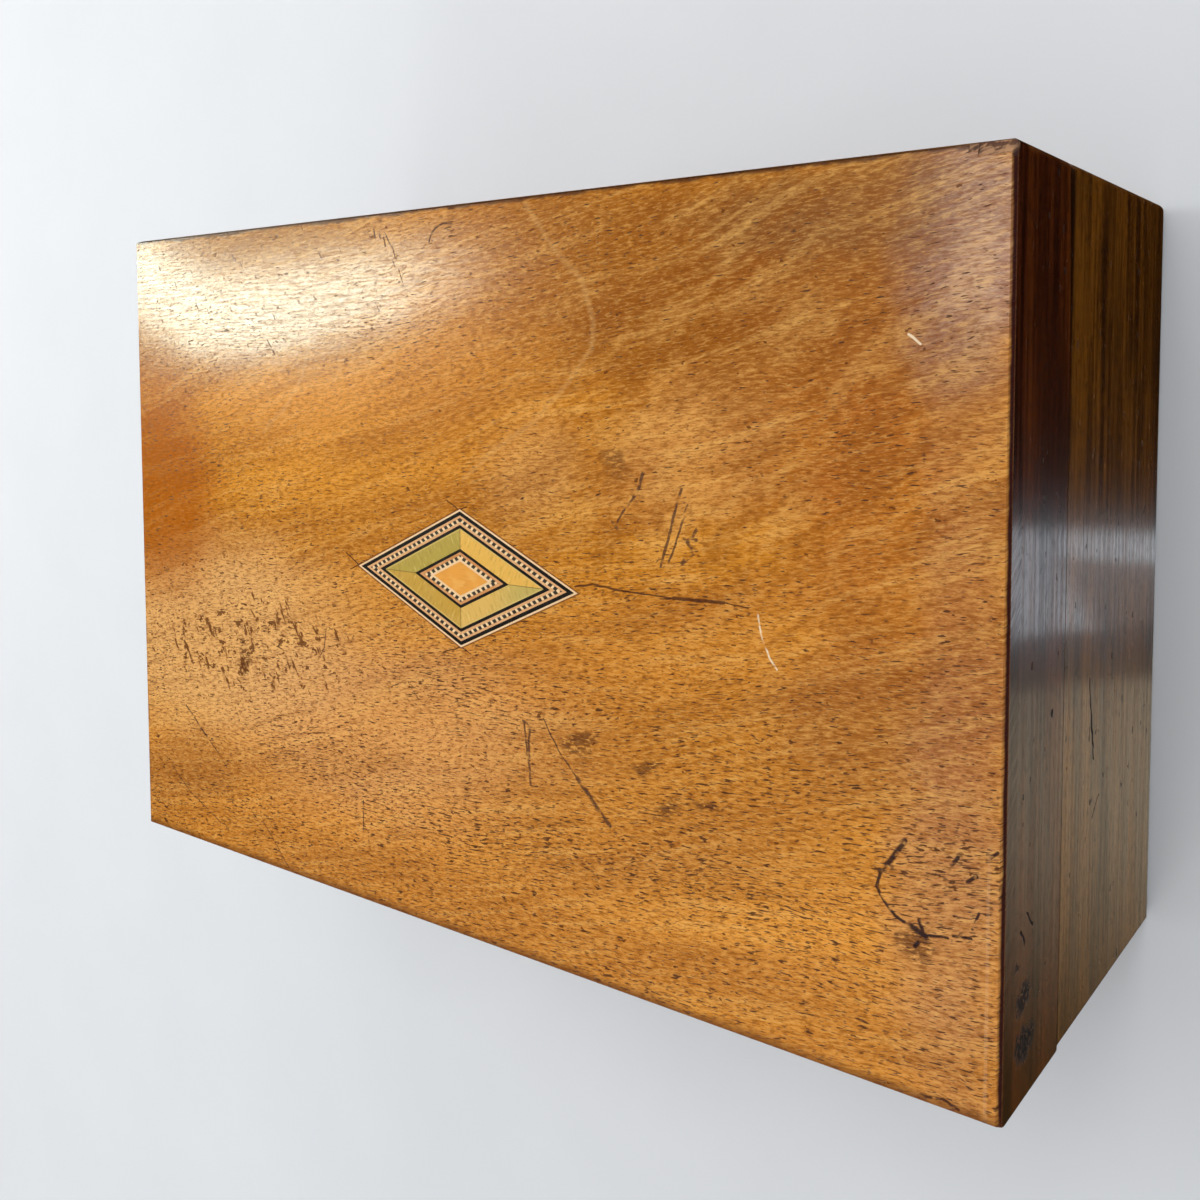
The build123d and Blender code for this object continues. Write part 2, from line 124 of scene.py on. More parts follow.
class Recipe:  # a node tree, of a material or of the world
    def __init__(self, tree):
        self.tree = tree
        tree.nodes.clear()

    def node(self, kind, settings=None, inputs=None, output=0):
        made = self.tree.nodes.new("ShaderNode" + kind)
        for name, value in (settings or {}).items():
            setattr(made, name, value)
        for name, value in (inputs or {}).items():
            if isinstance(value, Wire):
                self.tree.links.new(value.socket, made.inputs[name])
            else:
                made.inputs[name].default_value = value
        return Wire(self, made.outputs[output]) if made.outputs else None

    def vector(self, operation, first, second=None, scale=None, output=0):
        values = {0: first}
        if second is not None:
            values[1] = second
        if scale is not None:
            values["Scale"] = scale
        return self.node("VectorMath", {"operation": operation}, values, output)

    def mix(self, amount, first, second):  # colours as wires or 0-255 triples
        ends = [c if isinstance(c, Wire) else linear(c) for c in (first, second)]
        return self.node("Mix", {"data_type": "RGBA"}, {0: amount, 6: ends[0], 7: ends[1]}, 2)

    def place(self):  # where the point is at rest, in mm
        where = self.node("TexCoord", output=3)
        return self.vector("SCALE", where, scale=1000.0)

    def parts(self, vector):
        return [self.node("SeparateXYZ", inputs={0: vector}, output=i) for i in range(3)]

    def joined(self, x, y, z=0.0):
        return self.node("CombineXYZ", inputs={0: x, 1: y, 2: z})

    def stretched(self, vector, lengths):
        return self.vector("DIVIDE", vector, lengths)

    def cloud(self, vector, lengths, detail=2.0, rough=0.5, output=0):  # two lengths: a flat one
        flat = len(lengths) == 2
        return self.node("TexNoise", {"noise_dimensions": "2D" if flat else "3D"},
                         {"Vector": self.stretched(vector, (*lengths, 1.0)[:3]), "Scale": 1.0,
                          "Detail": detail, "Roughness": rough}, output)

    def clouds(self, vector, sizes):
        return {name: self.cloud(vector, *size) for name, size in sizes.items()}

    def sway(self, vector, lengths, reach, detail=2.0):  # the vector, pushed about in X and Y
        push = self.vector("SUBTRACT", self.cloud(vector, lengths, detail, output=1), (0.5, 0.5, 0.5))
        return self.vector("ADD", vector, self.vector("MULTIPLY", push, (reach * 2, reach * 2, 0)))

    def bent(self, vector, place, lengths, reach, detail):  # pushed about in X, Y and Z by a cloud at place
        push = self.vector("SUBTRACT", self.cloud(place, lengths, detail, output=1), (0.5, 0.5, 0.5))
        return self.vector("ADD", vector, self.vector("SCALE", push, scale=reach))

    def cells(self, vector, lengths):
        return self.node("TexVoronoi", None, {"Vector": self.stretched(vector, lengths), "Scale": 1.0})

    def patch(self, vector, spot, soft=0.45):  # spot: u, v, half length, half width, turn in degrees
        u, v, wide, high, turn = spot
        turn = math.radians(turn)
        off = self.vector("SUBTRACT", vector, (u, v, 0.0))
        along = self.vector("DOT_PRODUCT", off, (math.cos(turn) / wide, math.sin(turn) / wide, 0), output=1)
        across = self.vector("DOT_PRODUCT", off, (-math.sin(turn) / high, math.cos(turn) / high, 0), output=1)
        return self.vector("LENGTH", self.joined(along, across), output=1).step(1.0 + soft, 1.0 - soft)

    def patches(self, vector, spots):  # the strongest of several: spot, softness, strength
        strongest = None
        for spot, soft, strength in spots:
            shade = self.patch(vector, spot, soft) * strength
            strongest = shade if strongest is None else strongest.most(shade)
        return strongest

    def lines(self, vector, drawn):  # how far from the nearest line, in half widths
        nearest = None
        for half, path in drawn:
            for start, end in zip(path, path[1:]):
                long = math.hypot(end[0] - start[0], end[1] - start[1])
                run = ((end[0] - start[0]) / long, (end[1] - start[1]) / long, 0.0)
                off = self.vector("SUBTRACT", vector, (*start, 0.0))
                along = self.vector("DOT_PRODUCT", off, run, output=1)
                held = self.node("Clamp", None, {"Value": along, "Min": 0.0, "Max": long})
                away = self.vector("DISTANCE", off, self.vector("SCALE", run, scale=held), output=1)
                nearest = away / half if nearest is None else nearest.least(away / half)
        return nearest

    def tinted(self, colour, grain, layers, tones=None):
        # each layer: its pattern, where it begins and is whole (or None), strength, colour
        for name, edges, strength, tone in layers:
            shade = grain[name].step(*edges) if edges else grain[name]
            colour = self.mix(shade * strength, colour, tones[tone] if tones else tone)
        return colour

    def total(self, grain, weights, start=None):  # the patterns added up, each by its weight
        for name, weight in weights.items():
            term = grain[name] * weight
            start = term if start is None else start + term
        return start

    def finish(self, colour, rough, height=None, metal=0.0, coat=0.0, fixed=None):
        values = {"Base Color": colour if isinstance(colour, Wire) else linear(colour),
                  "Roughness": rough, "Metallic": metal, "Coat Weight": coat}
        values.update(fixed or {})
        if height is not None:  # the height is in mm
            values["Normal"] = self.node("Bump", None,
                                         {"Height": height, "Strength": 1.0, "Distance": mm})
        surface = self.node("BsdfPrincipled", None, values)
        self.node("OutputMaterial", None, {"Surface": surface})


def newMaterial(name):
    material = bpy.data.materials.new(name)
    material.use_nodes = True
    return material, Recipe(material.node_tree)


def layered(name, look, more=None):
    # a material of clouds whose colours lie over each other, from a dictionary of its look
    material, recipe = newMaterial(name)
    place = recipe.place()
    grain = recipe.clouds(place, look["grain"])
    if more:
        more(recipe, place, grain)
    for mask, edges in look.get("masks", {}).items():
        grain[mask] = grain[mask].step(*edges)
    colour = recipe.tinted(look["ground"], grain, look["layers"])
    rough = recipe.total(grain, look["rough"][1], look["rough"][0])
    metal = recipe.total(grain, look["metal"][1], look["metal"][0]) if "metal" in look else 0.0
    recipe.finish(colour, rough, recipe.total(grain, look["height"]), metal, look.get("coat", 0.0),
                  look.get("fixed"))
    return material


def dress(names, material):
    for name in names.split():
        slots = nodes[name].data.materials
        slots.clear()
        slots.append(material)


view = {"eye": (0.22731, 0.05132, 0.36347), "right": (0.80128, -0.00294, -0.59829),
        "up": (-0.03390, 0.99816, -0.05031), "ahead": (-0.59733, -0.06060, -0.79970),
        "lens": 37.07, "sensor": 36.0, "shiftUp": -0.1218, "near": 0.01}


def setCamera():
    camera = bpy.data.objects.new("camera", bpy.data.cameras.new("camera"))
    turn = Matrix((view["right"], view["up"], [-part for part in view["ahead"]])).transposed()
    camera.matrix_world = Matrix.Translation(view["eye"]) @ turn.to_4x4()
    camera.data.lens = view["lens"]
    camera.data.sensor_width = view["sensor"]
    camera.data.shift_y = view["shiftUp"]
    camera.data.clip_start = view["near"]
    bpy.context.scene.collection.objects.link(camera)
    bpy.context.scene.camera = camera
    bpy.context.scene.view_settings.view_transform = "Standard"


lamps = {  # where, aimed at, width and height, watts, colour
    "windowLight": ((-0.78, 0.31, 0.70), (-0.10, 0.08, 0.122), (0.48, 0.27), 2.2, (255, 252, 240)),
    "overheadLight": ((0.15, 0.42, 1.20), (0.05, 0.0, 0.1), (0.85, 0.85), 5.3, (250, 250, 252)),
    "leftLight": ((-1.60, 0.05, 0.60), (0.0, 0.0, 0.0), (0.60, 0.45), 9.0, (252, 252, 255)),
    "frontLight": ((-0.25, -1.30, 0.55), (0.0, -0.1, 0.06), (0.80, 0.60), 5.5, (255, 252, 246)),
    "backLight": ((0.20, 1.30, 0.60), (0.0, 0.1, 0.06), (0.80, 0.60), 5.0, (255, 252, 246)),
}
unmirrored = ("windowLight", "leftLight")  # the polish mirrors the room's own window instead


def setLamps():
    for name, (where, target, size, power, colour) in lamps.items():
        data = bpy.data.lights.new(name, "AREA")
        data.shape = "RECTANGLE"
        data.size, data.size_y = size
        data.energy = power
        data.color = linear(colour)[:3]
        lamp = bpy.data.objects.new(name, data)
        lamp.location = where
        lamp.rotation_euler = (Vector(target) - Vector(where)).to_track_quat("-Z", "Y").to_euler()
        lamp.visible_camera = False
        lamp.visible_glossy = name not in unmirrored
        bpy.context.scene.collection.objects.link(lamp)


# the room that the polish mirrors, by direction; each pair is where a part begins and is whole
room = {"ambient": 0.42, "pale": (104, 100, 92), "dark": (20, 10, 5), "band": (228, 238, 248),
        "dimBand": (112, 100, 92), "ground": (162, 152, 132), "farGround": (70, 54, 28),
        "seen": (232, 234, 236), "window": (238, 248, 228), "windowStrength": 16.0,
        "leanFrom": 0.93, "lean": 0.625, "bandTop": (-0.203, -0.195), "bandFoot": (-0.108, -0.122),
        "groundEdge": (-0.228, -0.238), "groundFade": (-0.28, -0.50), "dimSide": (-0.9490, -0.9515),
        "dimFoot": (-0.132, -0.141), "below": (-0.62, -0.52), "windowSide": (-0.76, -1.10),
        "sill": (0.014, 0.046), "sillBends": ((1.25, 0.16), (1.43, 0.5)), "head": (0.195, 0.125),
        "headBends": ((0.95, 0.05), (1.38, 0.45)), "windowLow": (0.2, 0.3),
        "shadeSide": (-1.22, -1.42), "shadeTop": (0.0, -0.03)}


def setRoom():
    world = bpy.data.worlds.new("room")
    bpy.context.scene.world = world
    world.use_nodes = True
    recipe = Recipe(world.node_tree)
    x, y, z = recipe.parts(recipe.node("TexCoord", output=0))
    # what the right end mirrors: a bright band, a dim stretch of it and a pale ground that fades
    lean = y + (z + room["leanFrom"]) * room["lean"]
    band = lean.step(*room["bandTop"]) * y.step(*room["bandFoot"])
    ground = lean.step(*room["groundEdge"])
    dim = z.step(*room["dimSide"]) * y.step(*room["dimFoot"])
    bright = recipe.mix(dim, room["band"], room["dimBand"])
    groundTone = recipe.mix(y.step(*room["groundFade"]), room["ground"], room["farGround"])
    below = recipe.mix(ground, recipe.mix(band, room["dark"], bright), groundTone)
    mirrored = recipe.mix(z.step(*room["below"]), below, room["pale"])
    # the window, as far as the lid can mirror it, with soft slanting edges
    over = z.most(0.05)
    side = x / over
    up = y / over
    (near, rise), (far, fall) = room["sillBends"]
    sill = up - (side + near).most(0.0) * rise + (side + far).least(0.0) * fall
    (near, rise), (far, fall) = room["headBends"]
    head = up - (side + near).least(0.0) * rise + (side + far).least(0.0) * fall
    lit = (side.step(*room["windowSide"]) * sill.step(*room["sill"]) * head.step(*room["head"])
           * z.step(*room["windowLow"]))
    shade = side.step(*room["shadeSide"]) * up.step(*room["shadeTop"])
    mirrored = recipe.mix(shade, mirrored, room["dark"])
    strength = 1.0 + lit * room["windowStrength"]
    mirrored = recipe.mix(lit, mirrored, room["window"])
    isCamera = recipe.node("LightPath", output=0)
    isGlossy = recipe.node("LightPath", output=3)
    plain = recipe.node("Background", None, {"Color": (1, 1, 1, 1), "Strength": room["ambient"]})
    gloss = recipe.node("Background", None, {"Color": mirrored, "Strength": strength})
    seen = recipe.node("Background", None, {"Color": linear(room["seen"]), "Strength": 1.0})
    light = recipe.node("MixShader", None, {0: isGlossy, 1: plain, 2: gloss})
    light = recipe.node("MixShader", None, {0: isCamera, 1: light, 2: seen})
    recipe.node("OutputWorld", None, {"Surface": light})


floor = {"half": 6.0, "under": 0.0002, "colour": (222, 226, 231), "shade": (216, 220, 225), "mottle": 60,
         "rough": 0.6, "fade": (0.45, 1.3)}


def setFloor():
    half = floor["half"]
    mesh = bpy.data.meshes.new("floor")
    mesh.from_pydata([(-half, -half, 0), (half, -half, 0), (half, half, 0), (-half, half, 0)],
                     [], [(0, 1, 2, 3)])
    ground = bpy.data.objects.new("floor", mesh)
    bpy.context.scene.collection.objects.link(ground)
    ground.location.z = -floor["under"]
    ground.visible_glossy = False
    material, recipe = newMaterial("floorPaint")
    place = recipe.place()
    mottle = recipe.cloud(place, (floor["mottle"],) * 3, 3.0)
    tone = recipe.mix(mottle, floor["colour"], floor["shade"])
    paint = recipe.node("BsdfPrincipled", None,
                        {"Base Color": tone, "Roughness": floor["rough"], "Specular IOR Level": 0.2})
    # further off, the eye sees the plain backdrop
    reach = recipe.vector("LENGTH", place, output=1) * mm
    far = reach.step(*floor["fade"]) * recipe.node("LightPath", output=0)
    backdrop = recipe.node("Emission", None, {"Color": linear(room["seen"]), "Strength": 1.0})
    recipe.node("OutputMaterial", None,
                {"Surface": recipe.node("MixShader", None, {0: far, 1: paint, 2: backdrop})})
    mesh.materials.append(material)


setCamera()
setLamps()
setRoom()
setFloor()
print("camera, lamps and floor set")


# polished walnut on the lid's top
low, high = inMm(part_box("inlay_outer_string"))
diamond = {"halfLength": rounded(high[0]), "halfWidth": rounded((high[1] - low[1]) / 2),
           "middleY": rounded((high[1] + low[1]) / 2), "pitch": 1.90, "block": 1.12,
           "outer": 14.33, "core": 5.28, "blockHalf": 0.50, "knife": (17.45, 17.15)}
diamondSide = math.hypot(diamond["halfLength"], diamond["halfWidth"])

lidTones = {"light": (226, 154, 50), "mid": (209, 133, 30), "dark": (142, 78, 10), "glow": (242, 188, 104),
            "low": (248, 170, 84), "pore": (68, 32, 8), "nick": (92, 48, 16), "stain": (150, 94, 48),
            "fleck": (118, 62, 10), "arris": (54, 14, 9), "bruise": (86, 44, 18), "knife": (110, 58, 22),
            "ghost": (236, 196, 150), "front": (98, 50, 18), "back": (70, 36, 20), "left": (120, 74, 40),
            "side": ((134, 82, 36), (92, 50, 20)), "rightSide": ((84, 34, 8), (42, 11, 2)),
            "leftSide": ((118, 68, 12), (58, 28, 4)), "shortSide": (40, 20, 10),
            "chip": ((66, 40, 34), (170, 130, 96))}

lidGrain = {  # on which points, lengths in mm along and across, detail, roughness
    "broad": ("figured", (120, 12), 2.0, 0.5), "streak": ("figured", (52, 2.6), 3.0, 0.65),
    "speck": ("fine", (2.7, 0.95), 3.0, 0.65), "dust": ("fine", (3.0, 0.56), 2.0, 0.8),
    "flame": ("climb", (26, 7.5), 2.0, 0.55), "crowd": ("flat", (60, 22), 1.0),
    "pore": ("fine", (3.4, 0.54), 1.0), "finePore": ("fine", (1.9, 0.44), 0.0),
    "dents": ("turned", (8.6, 2.7), 3.0, 0.65), "knocks": ("flat", (5.0, 3.0), 3.0, 0.65),
    "flecks": ("flat", (3.4, 2.0), 2.0), "worn": ("flat", (3.0, 3.0), 2.0),
    "ragged": ("place", (9, 9, 9), 3.0, 0.6), "straight": ("level", (60, 2.1), 3.0, 0.6),
    "short": ("level", (4.5, 0.9), 1.0, 0.6), "brushed": ("flat", (13, 0.7), 1.0, 0.7)}

lidFlow = {"drop": 0.8, "slant": 0.27, "figured": ((95, 70), 10.0, 1.5), "fineSlant": 0.10,
           "fine": ((46, 18), 2.2, 1.0), "loose": ((14, 9), 4.5), "traced": ((4.0, 4.0), 0.35),
           "climb": (0.84, 0.54), "flamed": (238, 140, 64, 58, 0), "front": (0, -80)}

lidPatches = [  # spot on the lid, colour it goes to, how strongly
    ((12, 114, 27, 30, 0), (172, 90, 0), 0.85),
    ((8, 150, 22, 12, 0), (178, 100, 12), 0.65),
    # darker where the window is mirrored: partly dark amber wood, partly painted shade that keeps the
    # highlight pale
    ((50, 184, 84, 26, 0), (128, 82, 28), 0.60),
    ((40, 70, 62, 30, 8), (236, 182, 116), 0.80),
    ((20, 24, 34, 12, 16), (150, 92, 46), 0.42),
    ((172, 130, 16, 12, 20), (230, 174, 104), 0.40),
    ((205, 178, 62, 24, -8), (134, 72, 10), 0.75),
    ((150, 160, 34, 30, 20), (190, 118, 34), 0.45),
    ((224, 138, 24, 16, 20), (216, 154, 84), 0.55),
    ((204, 126, 14, 10, 0), (166, 100, 40), 0.45),
    ((252, 140, 26, 18, 30), (160, 86, 20), 0.60),
    ((268, 122, 18, 36, 0), (172, 94, 30), 0.55),
    ((258, 172, 30, 20, -20), (152, 88, 28), 0.62),
    # grey haze at the back right corner: painted reflection of the bright room, partly a milky bloom of the
    # old varnish
    ((284, 178, 13, 26, 0), (140, 108, 96), 0.75),
    ((262, 190, 40, 12, 0), (120, 78, 42), 0.65),
    ((287, 172, 4, 15, 0), (206, 162, 108), 0.45),
    ((287, 100, 10, 110, 0), (160, 112, 84), 0.30),
    ((120, 54, 62, 26, 8), (226, 168, 112), 0.45),
    ((132, 113, 56, 12, 6), (150, 84, 20), 0.30),
    ((266, 80, 26, 16, 15), (146, 84, 40), 0.60),
    ((282, 44, 12, 40, 0), (196, 140, 92), 0.50),
    ((286, 84, 9, 34, 0), (168, 104, 62), 0.50),
    ((205, 48, 56, 24, 14), (170, 104, 34), 0.45),
    ((222, 92, 60, 14, 12), (196, 124, 50), 0.40),
    ((150, 10, 140, 9, 1), (172, 102, 30), 0.50),
    ((60, 30, 60, 6, 15), (164, 100, 42), 0.32),
    ((120, 92, 44, 12, 16), (214, 148, 70), 0.35),
]

darkScratches = [  # half width, path
    (0.34, [(218, 127.6), (215, 118), (212.4, 109)]),
    (0.26, [(219.8, 124), (217.4, 117), (214.6, 110)]),
    (0.42, [(207.2, 131), (206, 127.6), (204.4, 125)]),
    (0.26, [(204.4, 125), (201.2, 121), (199, 118)]),
    (0.45, [(198.4, 118.4), (199.8, 117.2)]),
    (0.40, [(222.4, 118.6), (219.8, 115.4), (221.8, 113.2), (218.4, 110.4)]),
    (0.42, [(219, 116.2), (222.2, 116)]),
    (0.38, [(169.2, 64.8), (171.6, 64), (171, 60), (171.6, 48.6)]),
    (0.26, [(169.4, 64.6), (170.4, 58), (171.4, 52)]),
    (0.20, [(176, 66.4), (181, 59), (187, 53)]),
    (0.56, [(187, 53), (192, 48), (197, 43)]),
    (0.30, [(23, 46), (30, 40), (35, 36.4)]),
    (0.18, [(35, 36.4), (40, 32.4), (45, 28)]),
    (0.22, [(108, 31), (108, 22)]),
    (0.15, [(62, 15), (74, 3)]),
    (0.15, [(120, 194), (123, 190), (127, 180)]),
    (0.15, [(93, 80), (92, 74), (89, 70)]),
    (0.18, [(127, 69), (131, 64.6)]),
    (0.16, [(14, 24), (24, 17), (40, 10)]),
    (0.26, [(115.8, 195.8), (116.2, 191.6)]),
    (0.22, [(117.7, 196.2), (118.0, 193.2)]),
    (0.26, [(119.6, 192.8), (120.4, 190.4)]),
    (0.26, [(137, 190.4), (137.8, 192.6), (139.6, 194.1), (142.2, 194.9), (145.4, 194.7)]),
    (0.20, [(142.8, 193.4), (145.2, 193.8)]),
    (0.2, [(68, 166), (72, 161)]),
]
crackLine = [
    (0.26, [(186.6, 101.6), (192, 102.8), (202, 102)]),
    (0.20, [(202, 102), (216, 101.8)]),
    (0.44, [(216, 101.8), (229.6, 102.2)]),
    (0.16, [(229.6, 102.2), (236, 101.6)]),
    (0.22, [(102.4, 103.2), (108, 100)]),
    (0.18, [(104, 98.6), (109, 101)]),
    (0.18, [(143, 120.6), (147.5, 118.4)]),
    (0.16, [(147.5, 118.4), (150, 119.6)]),
    (0.20, [(140.6, 79), (147.5, 81.4)]),
    (0.16, [(147.5, 81.4), (151, 80)]),
]
paleScratches = [
    (0.23, [(238.6, 100.4), (239.4, 96), (241.6, 91), (243.4, 88.6)]),
    (0.26, [(273.4, 162.4), (276, 160.4)]),
]
paleStreaks = [
    (0.55, [(171, 197.6), (181, 185), (189, 178), (192.6, 167), (192, 161)]),
    (0.5, [(192, 161), (185, 153), (174, 143), (160, 135), (149, 127)]),
    (0.5, [(88, 166), (84, 154), (76, 145), (66, 138)]),
]
ringStain = [
    (0.55, [(274, 56.6), (271, 52), (268.6, 48.6)]),
    (0.34, [(268.6, 48.6), (267.8, 45.4), (269.4, 42.4), (272, 40), (275.6, 38.4)]),
    (0.62, [(275.2, 38.8), (278.8, 37.4)]),
    (0.40, [(277.4, 40.2), (278.6, 36.6), (276.4, 34.6)]),
    (0.30, [(279.6, 37.8), (283.6, 38.2)]),
    (0.26, [(284.6, 39), (288.4, 39.4)]),
    (0.26, [(288.8, 41.4), (290, 45)]),
    (0.42, [(289.2, 52.6), (287.6, 51)]),
    (0.38, [(285.4, 55.6), (284, 53.8)]),
    (0.36, [(292.2, 57), (293.6, 58.4)]),
    (0.30, [(278, 2.8), (283, 3.6), (286.4, 2.6)]),
]
lidDrawn = {  # lines, where they begin and are whole in half widths, strength, colour, broken up or not
    "streaks": (paleStreaks, (2.6, 0.0), 0.17, (236, 190, 120), False),
    "scratch": (darkScratches, (1.5, 0.7), 0.80, (60, 32, 28), True),
    "crack": (crackLine, (1.4, 0.6), 0.85, (66, 28, 14), False),
    "ink": (ringStain, (1.6, 0.6), 0.92, (34, 20, 28), True),
    "scrape": (paleScratches, (1.4, 0.6), 0.8, (246, 226, 192), True),
}

lidPores = {"front": (60, -60), "moreFront": 0.060, "moreCrowd": 0.16, "less": 0.135, "lessFlamed": 0.02,
            "edge": (0.665, 0.715), "fineEdge": (0.745, 0.80), "fine": 0.75}
lidNicks = {"crowd": (((56, 70, 58, 17, 4), 0.20), ((60, 182, 70, 26, 0), 0.11)), "lean": 62.0,
            "edge": (0.815, 0.84), "fleckEdge": (0.765, 0.790), "stainEdge": (0.72, 0.82)}
lidBlots = [  # spot, softness, strength
    ((198.4, 133, 4.6, 3.4, 30), 0.5, 0.55), ((188, 62, 4.4, 3.0, 0), 0.5, 0.8),
    ((208, 60, 3.6, 2.0, 10), 0.5, 0.8), ((214, 51, 4.0, 2.2, 20), 0.5, 0.8),
    ((225, 54, 3.4, 1.6, 0), 0.5, 0.8), ((54, 65, 2.6, 4.8, 0), 0.5, 0.8),
    ((277, 36, 4.0, 2.6, 40), 0.5, 0.8)]
# heights, distances in from an edge and grain, where each begins and is whole
lidEdges = {"onTop": (120.4, 121.4), "side": (121.3, 120.7), "ragged": 2.4, "straight": (0.36, 0.62),
            "short": (0.56, 0.68), "end": (0.5, 0.2), "arris": (0.9, 0.45), "arrisTop": (120.7, 121.2),
            "ghostIn": 3.2, "ghost": (0.5, 0.2), "ghostFront": (-38, -52), "rubbed": (120.9, 121.4),
            "front": (5.0, 1.4), "back": (1.9, 0.9), "left": (1.8, 0.5)}
lidChip = {"size": (12.5, 3.6, 1.9), "edge": (1.15, 0.95), "under": (121.97, 121.9), "speck": (0.4, 0.6)}
lidPolish = {"rough": {"speck": 0.10, "pores": 0.2, "scratch": 0.2, "bare": 0.4}, "smooth": 0.16,
             "height": {"brushed": 0.018, "speck": 0.012, "pores": -0.035},
             "coat": 0.58, "brushed": (0.36, 0.64), "brushedCoat": 0.42, "dust": (0.48, 0.62),
             "dustCoat": 0.38, "blots": 0.3, "markCoat": 0.9,
             "fixed": {"Coat Roughness": 0.10, "Specular IOR Level": 0.25}}


def lidPoints(recipe):  # places on the lid in mm; flat starts at its front left corner
    flow = lidFlow
    place = recipe.place()
    x, y, z = recipe.parts(place)
    drop = (z - case["top"]) * flow["drop"]  # so that the board's edges get grain too
    flat = recipe.joined(x + drop + case["half"], y + drop + case["ahead"])
    slanted = recipe.joined(x + drop, y + drop - x * flow["slant"])
    fine = recipe.joined(x + drop, y + drop - x * flow["fineSlant"])
    loose = recipe.sway(flat, *flow["loose"])
    run, rise = flow["climb"]
    climb = recipe.joined(recipe.vector("DOT_PRODUCT", loose, (run, rise, 0), output=1),
                          recipe.vector("DOT_PRODUCT", loose, (-rise, run, 0), output=1))
    turned = recipe.node("Mapping", {"vector_type": "POINT"},
                         {"Vector": flat, "Rotation": (0, 0, math.radians(lidNicks["lean"]))})
    return {"place": place, "x": x, "y": y, "z": z, "flat": flat, "loose": loose, "climb": climb,
            "turned": turned, "figured": recipe.sway(slanted, *flow["figured"]),
            "fine": recipe.sway(fine, *flow["fine"]), "traced": recipe.sway(flat, *flow["traced"]),
            "level": recipe.joined(x + y, z), "onTop": z.step(*lidEdges["onTop"])}


def lidFigure(recipe, at, grain):  # the wood itself, patch by patch and streak by streak
    colour = recipe.mix(grain["broad"].step(0.30, 0.70), lidTones["dark"], lidTones["light"])
    colour = recipe.mix(0.62, colour, lidTones["mid"])
    colour = recipe.mix(at["y"].step(*lidFlow["front"]) * 0.34, colour, lidTones["low"])
    for spot, tone, strength in lidPatches:
        colour = recipe.mix(recipe.patch(at["loose"], spot) * strength, colour, tone)
    # a cloudy figure climbs to the right over the back corner
    flamed = recipe.patch(at["loose"], lidFlow["flamed"], 0.5)
    layers = [("streak", (0.50, 0.74), 0.34, "dark"), ("streak", (0.50, 0.28), 0.26, "glow"),
              ("flame", (0.50, 0.68), flamed * 0.42, "dark"), ("flame", (0.50, 0.30), flamed * 0.20, "glow"),
              ("speck", (0.50, 0.68), 0.40, "dark"), ("speck", (0.48, 0.28), 0.22 - flamed * 0.10, "glow"),
              ("dust", (0.52, 0.64), 0.50, "fleck"), ("dust", (0.46, 0.34), 0.24, "glow")]
    colour = recipe.tinted(colour, grain, layers, lidTones)
    spot, tone, strength = lidPatches[0]
    colour = recipe.mix(recipe.patch(at["loose"], spot) * 0.5, colour, tone)
    grain["flamed"] = flamed
    return colour


def lidWear(recipe, at, grain, colour):  # pores, nicks, blots and drawn marks, added to the grain
    loose, onTop = at["loose"], at["onTop"]
    # pores: short dark flecks, thicker towards the front
    many = (at["y"].step(*lidPores["front"]) * lidPores["moreFront"] + grain["crowd"] * lidPores["moreCrowd"]
            - lidPores["less"] - grain["flamed"] * lidPores["lessFlamed"])
    pores = (grain["pore"] + many).step(*lidPores["edge"])
    pores = pores.most((grain["finePore"] + many).step(*lidPores["fineEdge"]) * lidPores["fine"])
    grain["pores"] = pores * onTop
    # nicks: a crowd of steep dark dents at the left, and a few specks everywhere
    near, far = [recipe.patch(loose, spot, 0.5) * more for spot, more in lidNicks["crowd"]]
    crowded = near + far
    dented = grain["dents"] + crowded
    nicks = dented.step(*lidNicks["edge"]).most((grain["knocks"] + crowded).step(*lidNicks["edge"]))
    grain["nicks"] = nicks.most(grain["flecks"].step(*lidNicks["fleckEdge"])) * onTop
    grain["stained"] = dented.step(*lidNicks["stainEdge"]) * onTop
    grain["blots"] = recipe.patches(loose, lidBlots) * grain["speck"].step(0.36, 0.52) * onTop
    layers = [("pores", None, 0.88, "pore"), ("stained", None, 0.30, "stain"),
              ("nicks", None, 0.84, "nick"), ("blots", None, 0.90, "bruise")]
    colour = recipe.tinted(colour, grain, layers, lidTones)
    worn = grain["worn"].step(0.30, 0.52)
    for name, (drawn, edges, strength, tone, isBroken) in lidDrawn.items():
        mark = recipe.lines(at["traced"], drawn).step(*edges)
        grain[name] = (mark * worn if isBroken else mark) * onTop
        colour = recipe.mix(grain[name] * strength, colour, tone)
    return colour


